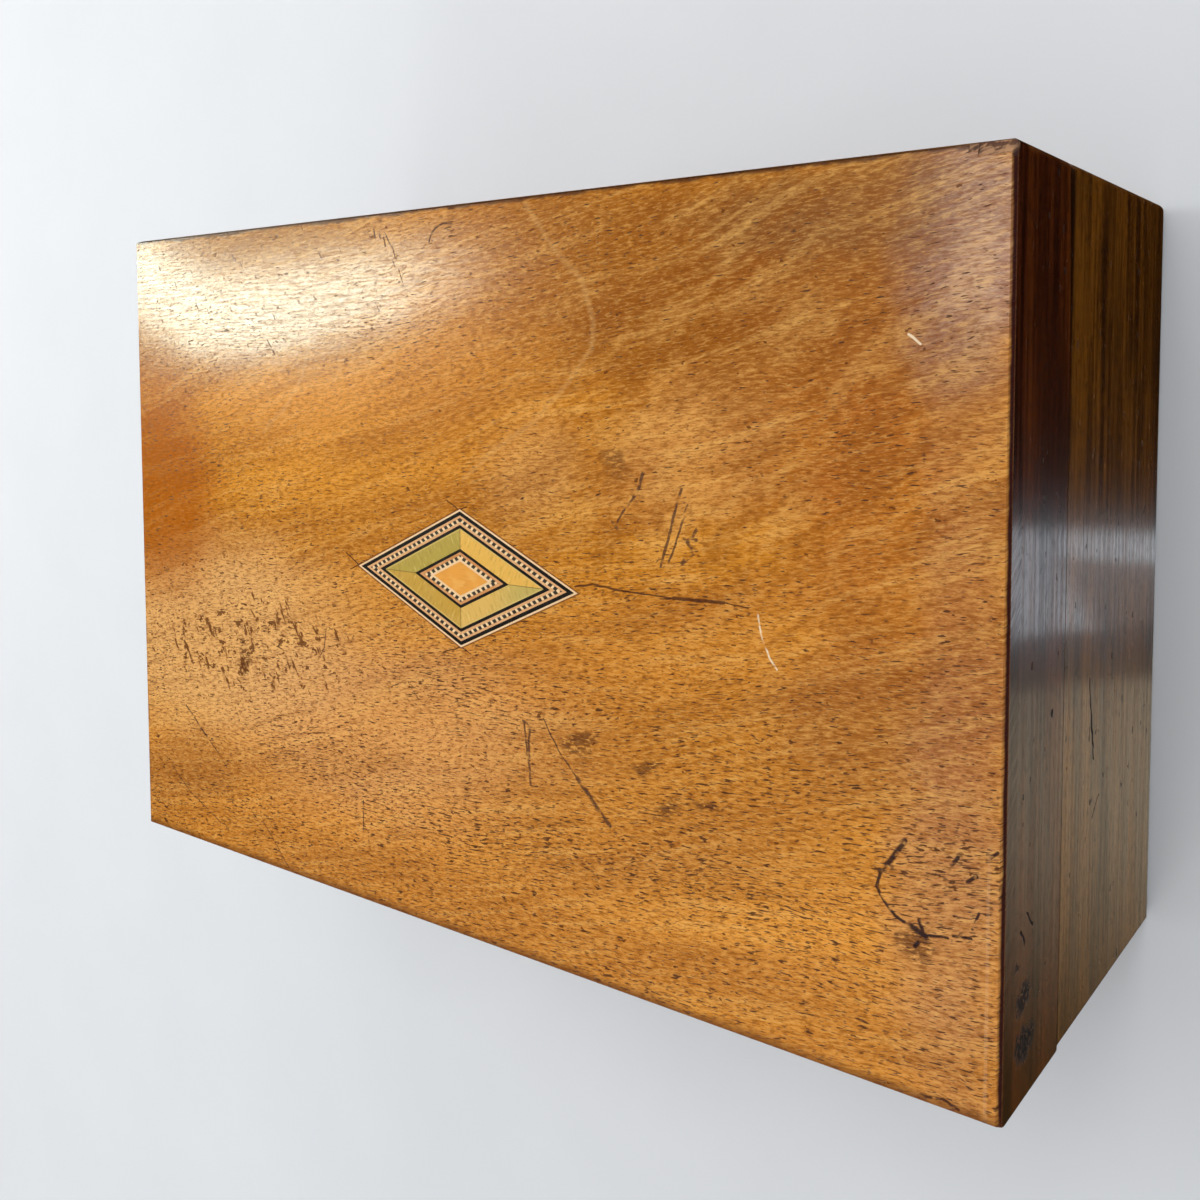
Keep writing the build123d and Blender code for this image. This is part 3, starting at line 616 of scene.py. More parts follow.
def lidRims(recipe, at, grain, colour):  # the cut round the diamond, the board's sides and its worn edges
    x, y, z, onTop = at["x"], at["y"], at["z"], at["onTop"]
    edges, tones = lidEdges, lidTones
    reach = abs(x) * diamond["halfWidth"] + abs(y - diamond["middleY"]) * diamond["halfLength"]
    knife = (reach / diamondSide).step(*diamond["knife"]) * onTop
    colour = recipe.mix(knife * 0.8, colour, tones["knife"])
    ragged = grain["ragged"] * edges["ragged"] - edges["ragged"] / 2
    straight = grain["straight"].step(*edges["straight"])
    sides = recipe.mix(straight, *tones["side"])
    begin, whole = (case["half"] - inset for inset in edges["end"])
    sides = recipe.mix(x.step(begin, whole), sides, recipe.mix(straight, *tones["rightSide"]))
    sides = recipe.mix(x.step(-begin, -whole), sides, recipe.mix(straight, *tones["leftSide"]))
    sides = recipe.mix(grain["short"].step(*edges["short"]) * 0.55, sides, tones["shortSide"])
    colour = recipe.mix(z.step(*edges["side"]), colour, sides)
    fromRight = case["half"] - x
    arris = (fromRight + ragged * 0.25).step(*edges["arris"]) * z.step(*edges["arrisTop"])
    colour = recipe.mix(arris, colour, tones["arris"])
    ghost = abs(fromRight - edges["ghostIn"] + ragged * 0.2).step(*edges["ghost"])
    colour = recipe.mix(ghost * y.step(*edges["ghostFront"]) * onTop * 0.14, colour, tones["ghost"])
    rubbed = z.step(*edges["rubbed"])
    for name, inward, strength in (("front", y + case["ahead"] + ragged, 0.85),
                                   ("back", case["behind"] - y + ragged, 0.85),
                                   ("left", x + case["half"] + ragged * 1.4, 0.6)):
        colour = recipe.mix(inward.step(*edges[name]) * rubbed * strength, colour, tones[name])
    # the chip at the back right corner shows bare wood
    long, deep, high = lidChip["size"]
    chip = recipe.joined((x - case["half"]) / long, (y - case["behind"]) / deep, (z - case["top"]) / high)
    grain["bare"] = recipe.vector("LENGTH", chip, output=1).step(*lidChip["edge"]) * z.step(*lidChip["under"])
    bareWood = recipe.mix(grain["speck"].step(*lidChip["speck"]), *tones["chip"])
    return recipe.mix(grain["bare"] * 0.8, colour, bareWood)


def lidVeneer():
    material, recipe = newMaterial("walnutLid")
    at = lidPoints(recipe)
    grain = {name: recipe.cloud(at[where], *size) for name, (where, *size) in lidGrain.items()}
    colour = lidFigure(recipe, at, grain)
    colour = lidWear(recipe, at, grain, colour)
    colour = lidRims(recipe, at, grain, colour)
    polish = lidPolish
    marks = (grain["pores"] + grain["nicks"] + grain["scratch"] + grain["ink"]
             + grain["blots"] * polish["blots"])
    coat = (polish["coat"] + grain["brushed"].step(*polish["brushed"]) * polish["brushedCoat"]
            - grain["dust"].step(*polish["dust"]) * polish["dustCoat"])
    coat = coat * (1 - marks.least(1.0) * polish["markCoat"])
    rough = recipe.total(grain, polish["rough"], polish["smooth"])
    recipe.finish(colour, rough, recipe.total(grain, polish["height"]), coat=coat, fixed=polish["fixed"])
    return material


# polished walnut on the case's sides and the lid's rails
endTones = {"light": (152, 92, 12), "mid": (98, 54, 3), "dark": (56, 25, 1), "deep": (38, 15, 2),
            "pore": (40, 20, 10), "worn": (150, 96, 50)}
railTones = {"light": (118, 56, 6), "mid": (76, 26, 1), "dark": (44, 11, 1), "deep": (30, 7, 1),
             "pore": (34, 14, 8), "worn": (140, 84, 40)}
longTones = {"light": (148, 92, 42), "mid": (122, 71, 30), "dark": (92, 50, 20), "deep": (62, 32, 14),
             "pore": (50, 26, 12), "worn": (162, 108, 58)}

sideVeneer = {
    "bend": ((95, 70, 95), 18.0, 1.5),
    "grain": {  # bent with the figure or straight, length along, width, detail, roughness
        "broad": (True, 190, 15, 2.0, 0.5), "streak": (True, 90, 3.6, 3.0, 0.65),
        "hair": (False, 70, 2.1, 1.0, 0.8), "fibre": (False, 3.4, 1.2, 2.0, 0.75),
        "brushed": (False, 60, 1.7, 1.0, 0.8), "pores": (False, 3.2, 0.8, 1.0, 0.5),
        "dents": (False, 4.0, 2.0, 1.5, 0.5)},
    "dirt": ((26, 26, 14), 4.0, 0.6), "ragged": ((8, 8, 8), 3.0, 0.6), "pores": (0.66, 0.72),
    # rim: the colour of the painted shade in the seam's gap
    "dents": (0.715, 0.75), "foot": (2.6, 0.8), "corner": (245.6, 247.0), "rim": (24, 11, 5),
    "layers": [("streak", (0.49, 0.62), 0.36, "dark"), ("streak", (0.49, 0.36), 0.28, "light"),
               ("hair", (0.50, 0.62), 0.48, "deep"), ("hair", (0.48, 0.36), 0.32, "light"),
               ("fibre", (0.50, 0.66), 0.45, "deep"), ("fibre", (0.46, 0.34), 0.18, "light"),
               ("pores", None, 0.7, "pore"), ("dirt", (0.54, 0.72), 0.45, "deep"),
               ("dents", None, 0.8, "pore"), ("foot", None, 0.7, "deep")],
    "height": {"brushed": 0.050, "fibre": 0.008, "pores": -0.028, "dents": -0.07},
    "smooth": 0.14, "rough": {"fibre": 0.10, "dirt": 0.06, "dents": 0.3},
    "coat": 0.32, "brushed": (0.62, 0.38), "brushedCoat": 0.42, "fibre": (0.50, 0.64), "fibreCoat": 0.22,
    "dentCoat": 0.3, "fixed": {"Coat Roughness": 0.07}}


def caseVeneer(name, along, tones, marks=None):  # the figure runs along X or Y
    look = sideVeneer
    material, recipe = newMaterial(name)
    place = recipe.place()
    x, y, z = recipe.parts(place)
    figured = recipe.bent(place, place, *look["bend"])
    grain = {}
    for pattern, (isBent, length, width, detail, rough) in look["grain"].items():
        lengths = [length if axis == along else width for axis in "xyz"]
        grain[pattern] = recipe.cloud(figured if isBent else place, lengths, detail, rough)
    grain["dirt"] = recipe.cloud(place, *look["dirt"])
    grain["pores"] = grain["pores"].step(*look["pores"])
    grain["dents"] = grain["dents"].step(*look["dents"])
    ragged = recipe.cloud(place, *look["ragged"]) * 2.0 - 1.0
    grain["foot"] = (z + ragged).step(*look["foot"])
    colour = recipe.mix(grain["broad"].step(0.30, 0.70), tones["dark"], tones["light"])
    colour = recipe.mix(0.5, colour, tones["mid"])
    colour = recipe.tinted(colour, grain, look["layers"], tones)
    # painted shade of the seam's gap along its two rims, most of it towards the back and at the front arris
    rim = abs(z - case["seam"]).step(1.0 + y.step(20, 90) * 0.5, 0.3)
    rim = rim * (0.45 + y.step(20, 80) * 0.45 + y.step(-100.6, -100.9) * 0.5).least(0.95)
    colour = recipe.mix(rim, colour, look["rim"])
    corner = (abs(x) + abs(y - diamond["middleY"]) + ragged).step(*look["corner"])
    colour = recipe.mix(corner * 0.5, colour, tones["worn"])
    height = recipe.total(grain, look["height"])
    rough = recipe.total(grain, look["rough"], look["smooth"])
    coat = (look["coat"] + grain["brushed"].step(*look["brushed"]) * look["brushedCoat"]
            - grain["fibre"].step(*look["fibre"]) * look["fibreCoat"] - grain["dents"] * look["dentCoat"])
    if marks:
        colour, height, rough, coat = marks(recipe, place, (x, y, z), colour, height, rough, coat)
    recipe.finish(colour, rough, height, coat=coat, fixed=look["fixed"])
    return material


endWear = {  # down from the lid's top, then back from its front
    "onEnd": (0.7, 0.3), "tremble": ((3, 3, 3), 2.4, 2.0), "loose": ((4.2, 4.2), 2.8, 3.0),
    "lines": [(0.42, [(58, 82), (63, 62)]), (0.55, [(60, 74), (62.4, 65)]), (0.22, [(63, 48), (68, 52)]),
              (0.40, [(10.6, 38.6), (13.4, 35.4)]), (0.34, [(14.6, 41.4), (18.4, 37.6)])],
    "spots": [((14, 13.5, 6.0, 3.4, 0), 0.3, 1.0), ((13, 24, 4.6, 2.6, 20), 0.4, 0.9),
              ((9, 31, 1.6, 0.9, 10), 0.4, 0.8), ((29, 80.6, 1.2, 1.2, 0), 0.3, 1.0)],
    "broken": ((1.2, 1.2, 1.2), 2.0, 0.6), "brokenEdge": (0.34, 0.50), "ragged": ((9, 9, 9), 3.0),
    "arris": (1.3, 0.7), "lineTone": (26, 13, 8), "spotTone": (18, 9, 4), "arrisTone": (60, 10, 6)}


def endMarks(recipe, place, axes, colour, height, rough, coat):  # cracks and worn spots on the right end
    x, y, z = axes
    wear = endWear
    onEnd = x.step(*(case["half"] - inset for inset in wear["onEnd"]))
    fromTop = case["top"] - z
    down = recipe.joined(fromTop, y + case["ahead"])
    traced = recipe.vector("MULTIPLY", recipe.bent(down, place, *wear["tremble"]), (1, 1, 0))
    lines = recipe.lines(traced, wear["lines"]).step(1.5, 0.6) * onEnd
    colour = recipe.mix(lines * 0.85, colour, wear["lineTone"])
    loose = recipe.sway(down, *wear["loose"])
    broken = recipe.cloud(place, *wear["broken"]).step(*wear["brokenEdge"])
    worn = recipe.patches(loose, wear["spots"]) * broken * onEnd
    colour = recipe.mix(worn * 0.95, colour, wear["spotTone"])
    arris = (fromTop + recipe.cloud(place, *wear["ragged"]) * 1.2).step(*wear["arris"]) * onEnd
    colour = recipe.mix(arris * 0.9, colour, wear["arrisTone"])
    coat = coat - worn * 0.8 - lines * 0.8
    return colour, height + lines * -0.12 + worn * -0.05, rough + worn * 0.5 + lines * 0.5, coat.most(0.0)


dress("lid_top_board", lidVeneer())
dress("right_board left_board lid_left_rail", caseVeneer("walnutEnds", "y", endTones, endMarks))
dress("lid_right_rail", caseVeneer("walnutLidEnd", "y", railTones, endMarks))
dress("front_board back_board lid_front_rail lid_back_rail", caseVeneer("walnutLong", "x", longTones))
print("walnut polished")


# the inlaid diamond
strings = {"holly": ((236, 202, 158), (206, 166, 116), 0.5),  # colour, worn colour, how worn
           "black": ((10, 6, 6), (46, 32, 28), 0.35), "tan": ((216, 162, 110), (236, 194, 144), 0.4)}
stringLook = {"grain": ((0.8, 0.8, 0.8), 3.0, 0.6), "grainEdge": (0.5, 0.75), "bloom": ((5, 5, 5), 2.0),
              "bloomEdge": (0.45, 0.7), "coreEdge": (8.0, 7.8), "smooth": 0.30, "rough": 0.12,
              "height": 0.015, "coreTan": (204, 138, 78),
              "fixed": {"Coat Roughness": 0.16, "Specular IOR Level": 0.35}}


def diamondAxes(recipe):  # x and y from the diamond's middle, then across and along its sides
    x, y, _ = recipe.parts(recipe.place())
    y = y - diamond["middleY"]
    across = (abs(x) * diamond["halfWidth"] + abs(y) * diamond["halfLength"]) / diamondSide
    along = (abs(y) * diamond["halfWidth"] - abs(x) * diamond["halfLength"]) / diamondSide
    return x, y, across, along


def stringMaterial(name, tone, worn, amount, coat=0.4, inner=None):
    look = stringLook
    material, recipe = newMaterial(name)
    place = recipe.place()
    if inner:  # the core's strings are a warmer wood
        across = diamondAxes(recipe)[2]
        tone = recipe.mix(across.step(*look["coreEdge"]), tone, inner)
    grain = recipe.cloud(place, *look["grain"])
    bloom = recipe.cloud(place, *look["bloom"]).step(*look["bloomEdge"])
    colour = recipe.mix(grain.step(*look["grainEdge"]) * amount, tone, worn)
    colour = recipe.mix(bloom * amount * 0.5, colour, worn)
    recipe.finish(colour, look["smooth"] + grain * look["rough"], grain * look["height"], coat=coat,
                  fixed=look["fixed"])
    return material


chequer = {"ground": (238, 206, 158), "edgeTone": (216, 162, 110), "block": (20, 11, 10),
           "dusty": (168, 112, 62), "between": 10.0, "lean": 0.35, "uneven": 0.5, "soft": 0.07,
           "softAcross": 0.08, "edge": (0.30, 0.44)}


def chequerMaterial():
    material, recipe = newMaterial("chequerString")
    _, _, across, along = diamondAxes(recipe)
    place = recipe.place()
    inner, outer = diamond["core"], diamond["outer"]
    off = across - (inner + across.over(chequer["between"]) * (outer - inner))
    uneven = recipe.cloud(place, (2.4, 2.4, 2.4), 1.0) * chequer["uneven"] - chequer["uneven"] / 2
    beat = (along + off * chequer["lean"] + uneven).within(diamond["pitch"])
    half, soft = diamond["block"] / 2, chequer["soft"]
    block = abs(beat - diamond["pitch"] / 2).step(half + soft, half - soft)
    half, soft = diamond["blockHalf"], chequer["softAcross"]
    block = block * abs(off).step(half + soft, half - soft)
    ground = recipe.mix(off.step(*chequer["edge"]), chequer["ground"], chequer["edgeTone"])
    grain = recipe.cloud(place, (0.8, 0.8, 0.8), 3.0)
    ground = recipe.mix(grain.step(0.5, 0.8) * 0.3, ground, chequer["dusty"])
    colour = recipe.mix(block * 0.97, ground, chequer["block"])
    recipe.finish(colour, 0.30 + grain * 0.12, grain * 0.012, coat=0.4, fixed={"Coat Roughness": 0.16})
    return material


panels = {"frontLeft": (194, 152, 58), "backLeft": (176, 154, 66), "backRight": (226, 176, 78),
          "frontRight": ((218, 176, 90), (176, 164, 88)), "rim": (214, 186, 110), "seam": (90, 74, 30),
          "meet": (-0.12, 0.12), "turns": (8, 24), "rimEdge": (11.75, 12.0), "seamAlong": (0.14, 0.06),
          "seamAcross": (0.16, 0.07), "fleck": ((0.7, 3.0, 1.0), 3.0, 0.6), "cloudy": ((7, 7, 7), 3.0),
          "layers": [("fleck", (0.5, 0.8), 0.55, (140, 112, 44)),
                     ("fleck", (0.46, 0.25), 0.35, (244, 222, 150)),
                     ("cloudy", (0.5, 0.75), 0.25, (200, 160, 84))]}


def panelMaterial():  # four quarters of dyed veneer
    material, recipe = newMaterial("dyedVeneer")
    x, y, across, along = diamondAxes(recipe)
    isRight = x.step(*panels["meet"])
    isBack = y.step(*panels["meet"])
    left = recipe.mix(isBack, panels["frontLeft"], panels["backLeft"])
    front = recipe.mix(x.step(*panels["turns"]) * 0.7, *panels["frontRight"])
    colour = recipe.mix(isRight, left, recipe.mix(isBack, front, panels["backRight"]))
    fleck = recipe.cloud(recipe.joined(along, across), *panels["fleck"])
    grain = {"fleck": fleck, "cloudy": recipe.cloud(recipe.place(), *panels["cloudy"])}
    colour = recipe.tinted(colour, grain, panels["layers"])
    colour = recipe.mix(across.step(*panels["rimEdge"]) * 0.6, colour, panels["rim"])
    seam = abs(x).step(*panels["seamAcross"]).most(abs(y).step(*panels["seamAlong"]))
    colour = recipe.mix(seam * 0.7, colour, panels["seam"])
    recipe.finish(colour, 0.28 + fleck * 0.12, fleck * 0.02, coat=0.4, fixed={"Coat Roughness": 0.16})
    return material


satinwood = {"ground": (230, 158, 62),
             "grain": {"ray": ((4.0, 0.5, 1.0), 3.0, 0.6), "cloudy": ((4, 3, 3), 2.0)},
             "layers": [("ray", (0.45, 0.75), 0.5, (206, 138, 60)),
                        ("cloudy", (0.45, 0.75), 0.4, (240, 190, 110))],
             "rough": (0.28, {"ray": 0.12}), "height": {"ray": 0.015}, "coat": 0.4,
             "fixed": {"Coat Roughness": 0.16}}

dress("inlay_outer_string inlay_core_string", stringMaterial("paleHolly", *strings["holly"]))
dress("inlay_outer_black inlay_panel_black inlay_core_black",
      stringMaterial("blackString", *strings["black"], coat=0.2))
dress("inlay_outer_tan inlay_inner_tan inlay_core_tan",
      stringMaterial("boxwoodString", *strings["tan"], inner=stringLook["coreTan"]))
dress("inlay_outer_chequer inlay_core_chequer", chequerMaterial())
dress("inlay_panels", panelMaterial())
dress("inlay_centre", layered("satinwood", satinwood))
print("diamond laid in")


# linings, metal, bone and pine
fibres = {"grain": ((2.2, 1.2, 1.6), 3.0, 0.7), "dark": (0.48, 0.70), "light": (0.46, 0.28)}
liningPaper = {
    "ground": (150, 56, 62), "rubbed": 2.0,
    "grain": {"fibre": fibres["grain"], "fade": ((70, 60, 40), 3.0, 0.6), "spots": ((3.2, 3.2, 3.2), 2.0),
              "rubbed": ((5, 5, 5), 4.0, 0.7)},
    "layers": [("fade", (0.30, 0.75), 0.7, (176, 86, 84)), ("fibre", fibres["dark"], 0.40, (116, 36, 44)),
               ("fibre", fibres["light"], 0.25, (196, 116, 108)),
               ("rim", (80.4, 82.0), 0.65, (190, 132, 112)),
               ("spots", (0.68, 0.76), 0.5, (92, 50, 34))],
    "rough": (0.72, {"fibre": 0.14}), "height": {"fibre": 0.05, "rubbed": 0.05},
    "fixed": {"Specular IOR Level": 0.3}}


def paperRim(recipe, place, grain):  # the height, made ragged, for the rubbed top edges
    grain["rim"] = recipe.parts(place)[2] + grain["rubbed"] * liningPaper["rubbed"]


coverPaper = {
    "ground": (154, 56, 60),
    "grain": {"fibre": fibres["grain"], "fade": ((60, 50, 20), 3.0, 0.6),
              "rubbed": ((2.2, 2.2, 2.2), 3.0, 0.7)},
    "rubbed": (0.34, 0.5),
    "layers": [("fade", (0.30, 0.75), 0.7, (182, 88, 84)), ("fibre", fibres["dark"], 0.40, (118, 36, 42)),
               ("fibre", fibres["light"], 0.25, (200, 118, 108)),
               ("inward", (1.6, 0.3), 0.5, (206, 150, 130)), ("gilt", None, 1.0, (214, 168, 84))],
    "lines": [(5.0, (0.62, 0.34)), (6.6, (0.30, 0.14))],  # how far in, half width
    "rough": (0.72, {"gilt": -0.36}), "height": {"fibre": 0.04, "line": -0.04},
    "metal": (0.0, {"gilt": 0.85}), "fixed": {"Specular IOR Level": 0.3}}


def coverMaterial(side):  # paper with two fine gilt lines a little way in from its edge
    low, high = inMm(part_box(side + "_compartment_cover"))
    middle = [float(part) for part in (low + high) / 2]
    half = [float(part) for part in (high - low) / 2]

    def giltLines(recipe, place, grain):
        x, y, _ = recipe.parts(place)
        inward = (half[0] - abs(x - middle[0])).least(half[1] - abs(y - middle[1]))
        first, second = [abs(inward - inset).step(*width) for inset, width in coverPaper["lines"]]
        grain["inward"] = inward
        grain["line"] = first.most(second)
        grain["gilt"] = grain["line"] * grain["rubbed"].step(*coverPaper["rubbed"])

    return layered("coverPaper" + side.title(), coverPaper, giltLines)


def metalLook(bright, dull, rust, along):
    return {"ground": bright,
            "grain": {"drawn": (along, 3.0, 0.6), "bloom": ((7, 7, 7), 4.0, 0.6),
                      "specks": ((1.2, 1.2, 1.2), 2.0)},
            "masks": {"specks": (0.64, 0.74)},
            "layers": [("bloom", (0.38, 0.66), 1.0, dull), ("specks", None, 0.6, rust)],
            "rough": (0.26, {"bloom": 0.22, "specks": 0.2}), "height": {"drawn": 0.02, "specks": -0.02},
            "metal": (1.0, {"specks": -0.5})}


agedBrass = metalLook((190, 146, 78), (132, 98, 52), (78, 62, 38), (9, 0.5, 0.5))
lockSteel = metalLook((132, 128, 124), (84, 80, 78), (92, 58, 38), (6, 0.4, 0.4))

bone = {"ground": (232, 220, 192),
        "grain": {"lines": ((0.5, 0.5, 6.0), 3.0, 0.6), "stain": ((4, 4, 4), 3.0)},
        "layers": [("stain", (0.4, 0.75), 0.6, (204, 176, 128)),
                   ("lines", (0.58, 0.74), 0.4, (156, 122, 82))],
        "rough": (0.32, {"stain": 0.1}), "height": {"lines": 0.02}, "coat": 0.2}

pine = {"ground": (206, 172, 120), "bend": ((120, 30, 30), 20.0, 2.0), "rings": ((260, 4.4, 9), 2.0),
        "grain": {"fibre": ((8, 0.6, 0.6), 3.0, 0.6)},
        "layers": [("rings", (0.42, 0.62), 1.0, (168, 122, 70)),
                   ("fibre", (0.4, 0.75), 0.35, (140, 100, 58))],
        "rough": (0.62, {"fibre": 0.15}), "height": {"fibre": 0.05, "rings": 0.05}}


def pineRings(recipe, place, grain):
    grain["rings"] = recipe.cloud(recipe.bent(place, place, *pine["bend"]), *pine["rings"])


gilt = {"ground": (212, 164, 80),
        "grain": {"rubbed": ((3.4, 3.4, 3.4), 4.0, 0.65), "soft": ((9, 9, 9), 3.0)},
        "masks": {"rubbed": (0.60, 0.68)},
        "layers": [("soft", (0.35, 0.7), 1.0, (176, 126, 56)), ("rubbed", None, 1.0, (120, 52, 34))],
        "rough": (0.30, {"soft": 0.2, "rubbed": 0.3}), "height": {"soft": 0.1, "rubbed": -0.03},
        "metal": (1.0, {"rubbed": -0.95})}

paper = layered("liningPaper", liningPaper, paperRim)
dress("front_lining back_lining left_lining right_lining floor_lining", paper)
dress("tray_front_wall tray_back_wall tray_left_wall tray_right_wall", paper)
dress("tray_floor tray_partitions tray_dividers", paper)
dress("left_compartment_cover", coverMaterial("left"))
dress("right_compartment_cover", coverMaterial("right"))
brass = layered("agedBrass", agedBrass)
dress("lock_plate lock_link_plate lock_screws link_plate_screws lock_posts", brass)
dress("left_hinge_base_leaf left_hinge_lid_leaf left_hinge_pin base_hinge_screws", brass)
dress("right_hinge_base_leaf right_hinge_lid_leaf right_hinge_pin lid_hinge_screws", brass)
dress("lock_cap lock_bolt lock_key_pin", layered("lockSteel", lockSteel))
dress("keyhole_escutcheon left_cover_knob right_cover_knob", layered("bone", bone))
dress("bottom_board", layered("pine", pine, pineRings))
dress("lid_pad_frame", layered("giltMoulding", gilt))
print("linings, metal and bone dressed")


# the soft pieces, which the cloth solver fills out at ten times their size
fabric = {"scale": 10, "quality": 5, "mass": 0.3, "stretch": 15.0, "shear": 5.0}


def finer(grid):  # twice as many points each way, on smooth lines through the old ones
    for axis in (0, 1):
        rows = np.moveaxis(grid, axis, 0)
        middles = (rows[:-1] + rows[1:]) / 2
        middles[1:-1] = (9 * (rows[1:-2] + rows[2:-1]) - rows[:-3] - rows[3:]) / 16
        both = np.empty((2 * len(rows) - 1, *rows.shape[1:]))
        both[::2], both[1::2] = rows, middles
        grid = np.moveaxis(both, 0, axis)
    return grid


def gridFaces(rows, columns):
    return [(i * columns + j, i * columns + j + 1, (i + 1) * columns + j + 1, (i + 1) * columns + j)
            for i in range(rows - 1) for j in range(columns - 1)]


def blowUp(sheet, held, cloth):
    scene = bpy.context.scene
    rows, columns = sheet.shape[:2]
    large = fabric["scale"] * mm
    mesh = bpy.data.meshes.new("cloth")
    mesh.from_pydata([tuple(c) for c in sheet.reshape(-1, 3) * large], [], gridFaces(rows, columns))
    piece = bpy.data.objects.new("cloth", mesh)
    scene.collection.objects.link(piece)
    group = piece.vertex_groups.new(name="held")
    group.add([int(i) for i in np.flatnonzero(held.ravel())], 1.0, "REPLACE")
    modifier = piece.modifiers.new("cloth", "CLOTH")
    settings = modifier.settings
    settings.quality = fabric["quality"]
    settings.mass = fabric["mass"]
    settings.tension_stiffness = settings.compression_stiffness = fabric["stretch"]
    settings.shear_stiffness = fabric["shear"]
    settings.bending_stiffness = cloth["bend"]
    settings.use_pressure = True
    settings.uniform_pressure_force = cloth["pressure"]
    settings.shrink_min = -cloth["slack"]
    settings.effector_weights.gravity = 0.0
    settings.vertex_group_mass = "held"
    modifier.point_cache.frame_start = 1
    modifier.point_cache.frame_end = cloth["frames"]
    for step in range(1, cloth["frames"] + 1):
        scene.frame_set(step)
    blown = piece.evaluated_get(bpy.context.evaluated_depsgraph_get())
    flat = np.empty(rows * columns * 3)
    blown.data.vertices.foreach_get("co", flat)
    bpy.data.objects.remove(piece)
    scene.frame_set(1)
    return flat.reshape(rows, columns, 3) / large


def newPiece(name, points, faces, material):  # points in mm
    mesh = bpy.data.meshes.new(name)
    mesh.from_pydata([tuple(c) for c in np.array(points) * mm], [], faces)
    work = bmesh.new()
    work.from_mesh(mesh)
    bmesh.ops.recalc_face_normals(work, faces=work.faces)
    work.to_mesh(mesh)
    work.free()
    piece = bpy.data.objects.new(name, mesh)
    bpy.context.scene.collection.objects.link(piece)
    mesh.materials.append(material)
    return piece


def closedForm(surface, floor):
    # a surface grid closed by straight sides and one flat face at the height of the floor
    rows, columns = surface.shape[:2]
    rim = ([(0, j) for j in range(columns)] + [(i, columns - 1) for i in range(1, rows)]
           + [(rows - 1, j) for j in range(columns - 2, -1, -1)] + [(i, 0) for i in range(rows - 2, 0, -1)])
    lower = np.array([surface[i, j] for i, j in rim])
    lower[:, 2] = floor
    first = rows * columns
    faces = gridFaces(rows, columns)
    for k, (i, j) in enumerate(rim):
        m, n = rim[(k + 1) % len(rim)]
        faces.append((m * columns + n, i * columns + j, first + k, first + (k + 1) % len(rim)))
    faces.append(tuple(first + k for k in range(len(rim) - 1, -1, -1)))
    return np.concatenate([surface.reshape(-1, 3), lower]), faces


silkPad = {"spacing": 2.1, "tufts": (37.1, 27.4), "margin": 5, "edge": 0.8, "tuft": 0.3, "start": 2.2,
           "levels": 4.4, "ease": 1.6, "tallest": 5.8, "inset": 0.15, "creases": 0.02, "seed": 4,
           "behind": 0.02,
           "cloth": {"pressure": 6.0, "slack": 0.06, "bend": 0.05, "frames": 20}}
oldRoseSilk = {
    "ground": (170, 72, 84),
    "grain": {"weave": ((2.6, 0.16, 0.5), 2.0, 0.6), "warp": ((0.16, 2.6, 0.5), 2.0, 0.6),
              "fade": ((40, 40, 20), 3.0), "slub": ((9, 0.35, 1.0), 2.0)},
    "masks": {"slub": (0.60, 0.75)},
    "layers": [("fade", (0.35, 0.7), 1.0, (200, 112, 112)), ("weave", (0.45, 0.75), 0.28, (128, 44, 58)),
               ("slub", None, 0.3, (222, 156, 146))],
    "rough": (0.36, {"weave": 0.16}), "height": {"weave": 0.03, "warp": 0.02, "slub": 0.02},
    "fixed": {"Sheen Weight": 0.35, "Sheen Roughness": 0.35}}


def makeSilkPad():
    # the silk is held at its edge and at the tufts, and blown up between them
    low, high = inMm(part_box("lid_silk_pad"))
    s = silkPad
    middle, half = (low + high) / 2, (high - low) / 2 - s["inset"]
    columns, rows = (int(2 * h / s["spacing"]) + 1 for h in half[:2])
    y, x = np.meshgrid(np.linspace(-half[1], half[1], rows), np.linspace(-half[0], half[0], columns),
                       indexing="ij")
    proud = np.full_like(x, s["start"])
    held = np.zeros(x.shape, bool)
    held[[0, -1], :] = held[:, [0, -1]] = True
    proud[held] = s["edge"]
    wide, deep = s["tufts"][0] / 2, s["tufts"][1] / 2
    most = int(max(half[0] / wide, half[1] / deep)) + 1
    for a in range(-most, most + 1):
        for b in range(-most, most + 1):
            isInside = abs(a * wide) < half[0] - s["margin"] and abs(b * deep) < half[1] - s["margin"]
            if (a + b) % 2 == 0 and isInside:
                i = round((b * deep + half[1]) / (2 * half[1]) * (rows - 1))
                j = round((a * wide + half[0]) / (2 * half[0]) * (columns - 1))
                held[i, j] = True
                proud[i, j] = s["tuft"]
    proud += np.where(held, 0, np.random.default_rng(s["seed"]).normal(0, s["creases"], x.shape))
    blown = finer(blowUp(np.stack([x, y, proud], -1), held, s["cloth"]))
    over = blown[..., 2] - s["levels"]
    eased = s["levels"] + (s["tallest"] - s["levels"]) * np.tanh(over / s["ease"])
    proud = np.where(over > 0, eased, blown[..., 2])
    face = np.stack([np.clip(blown[..., 0], -half[0], half[0]) + middle[0],
                     np.clip(blown[..., 1], -half[1], half[1]) + middle[1],
                     high[2] - np.clip(proud, s["inset"], s["tallest"])], -1)
    points, faces = closedForm(face, high[2] - s["behind"])
    pad = newPiece("quilted_silk_pad", points, faces, layered("oldRoseSilk", oldRoseSilk))
    pad.data.shade_smooth()
    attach(pad, "lid")
    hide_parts("lid_silk_pad")


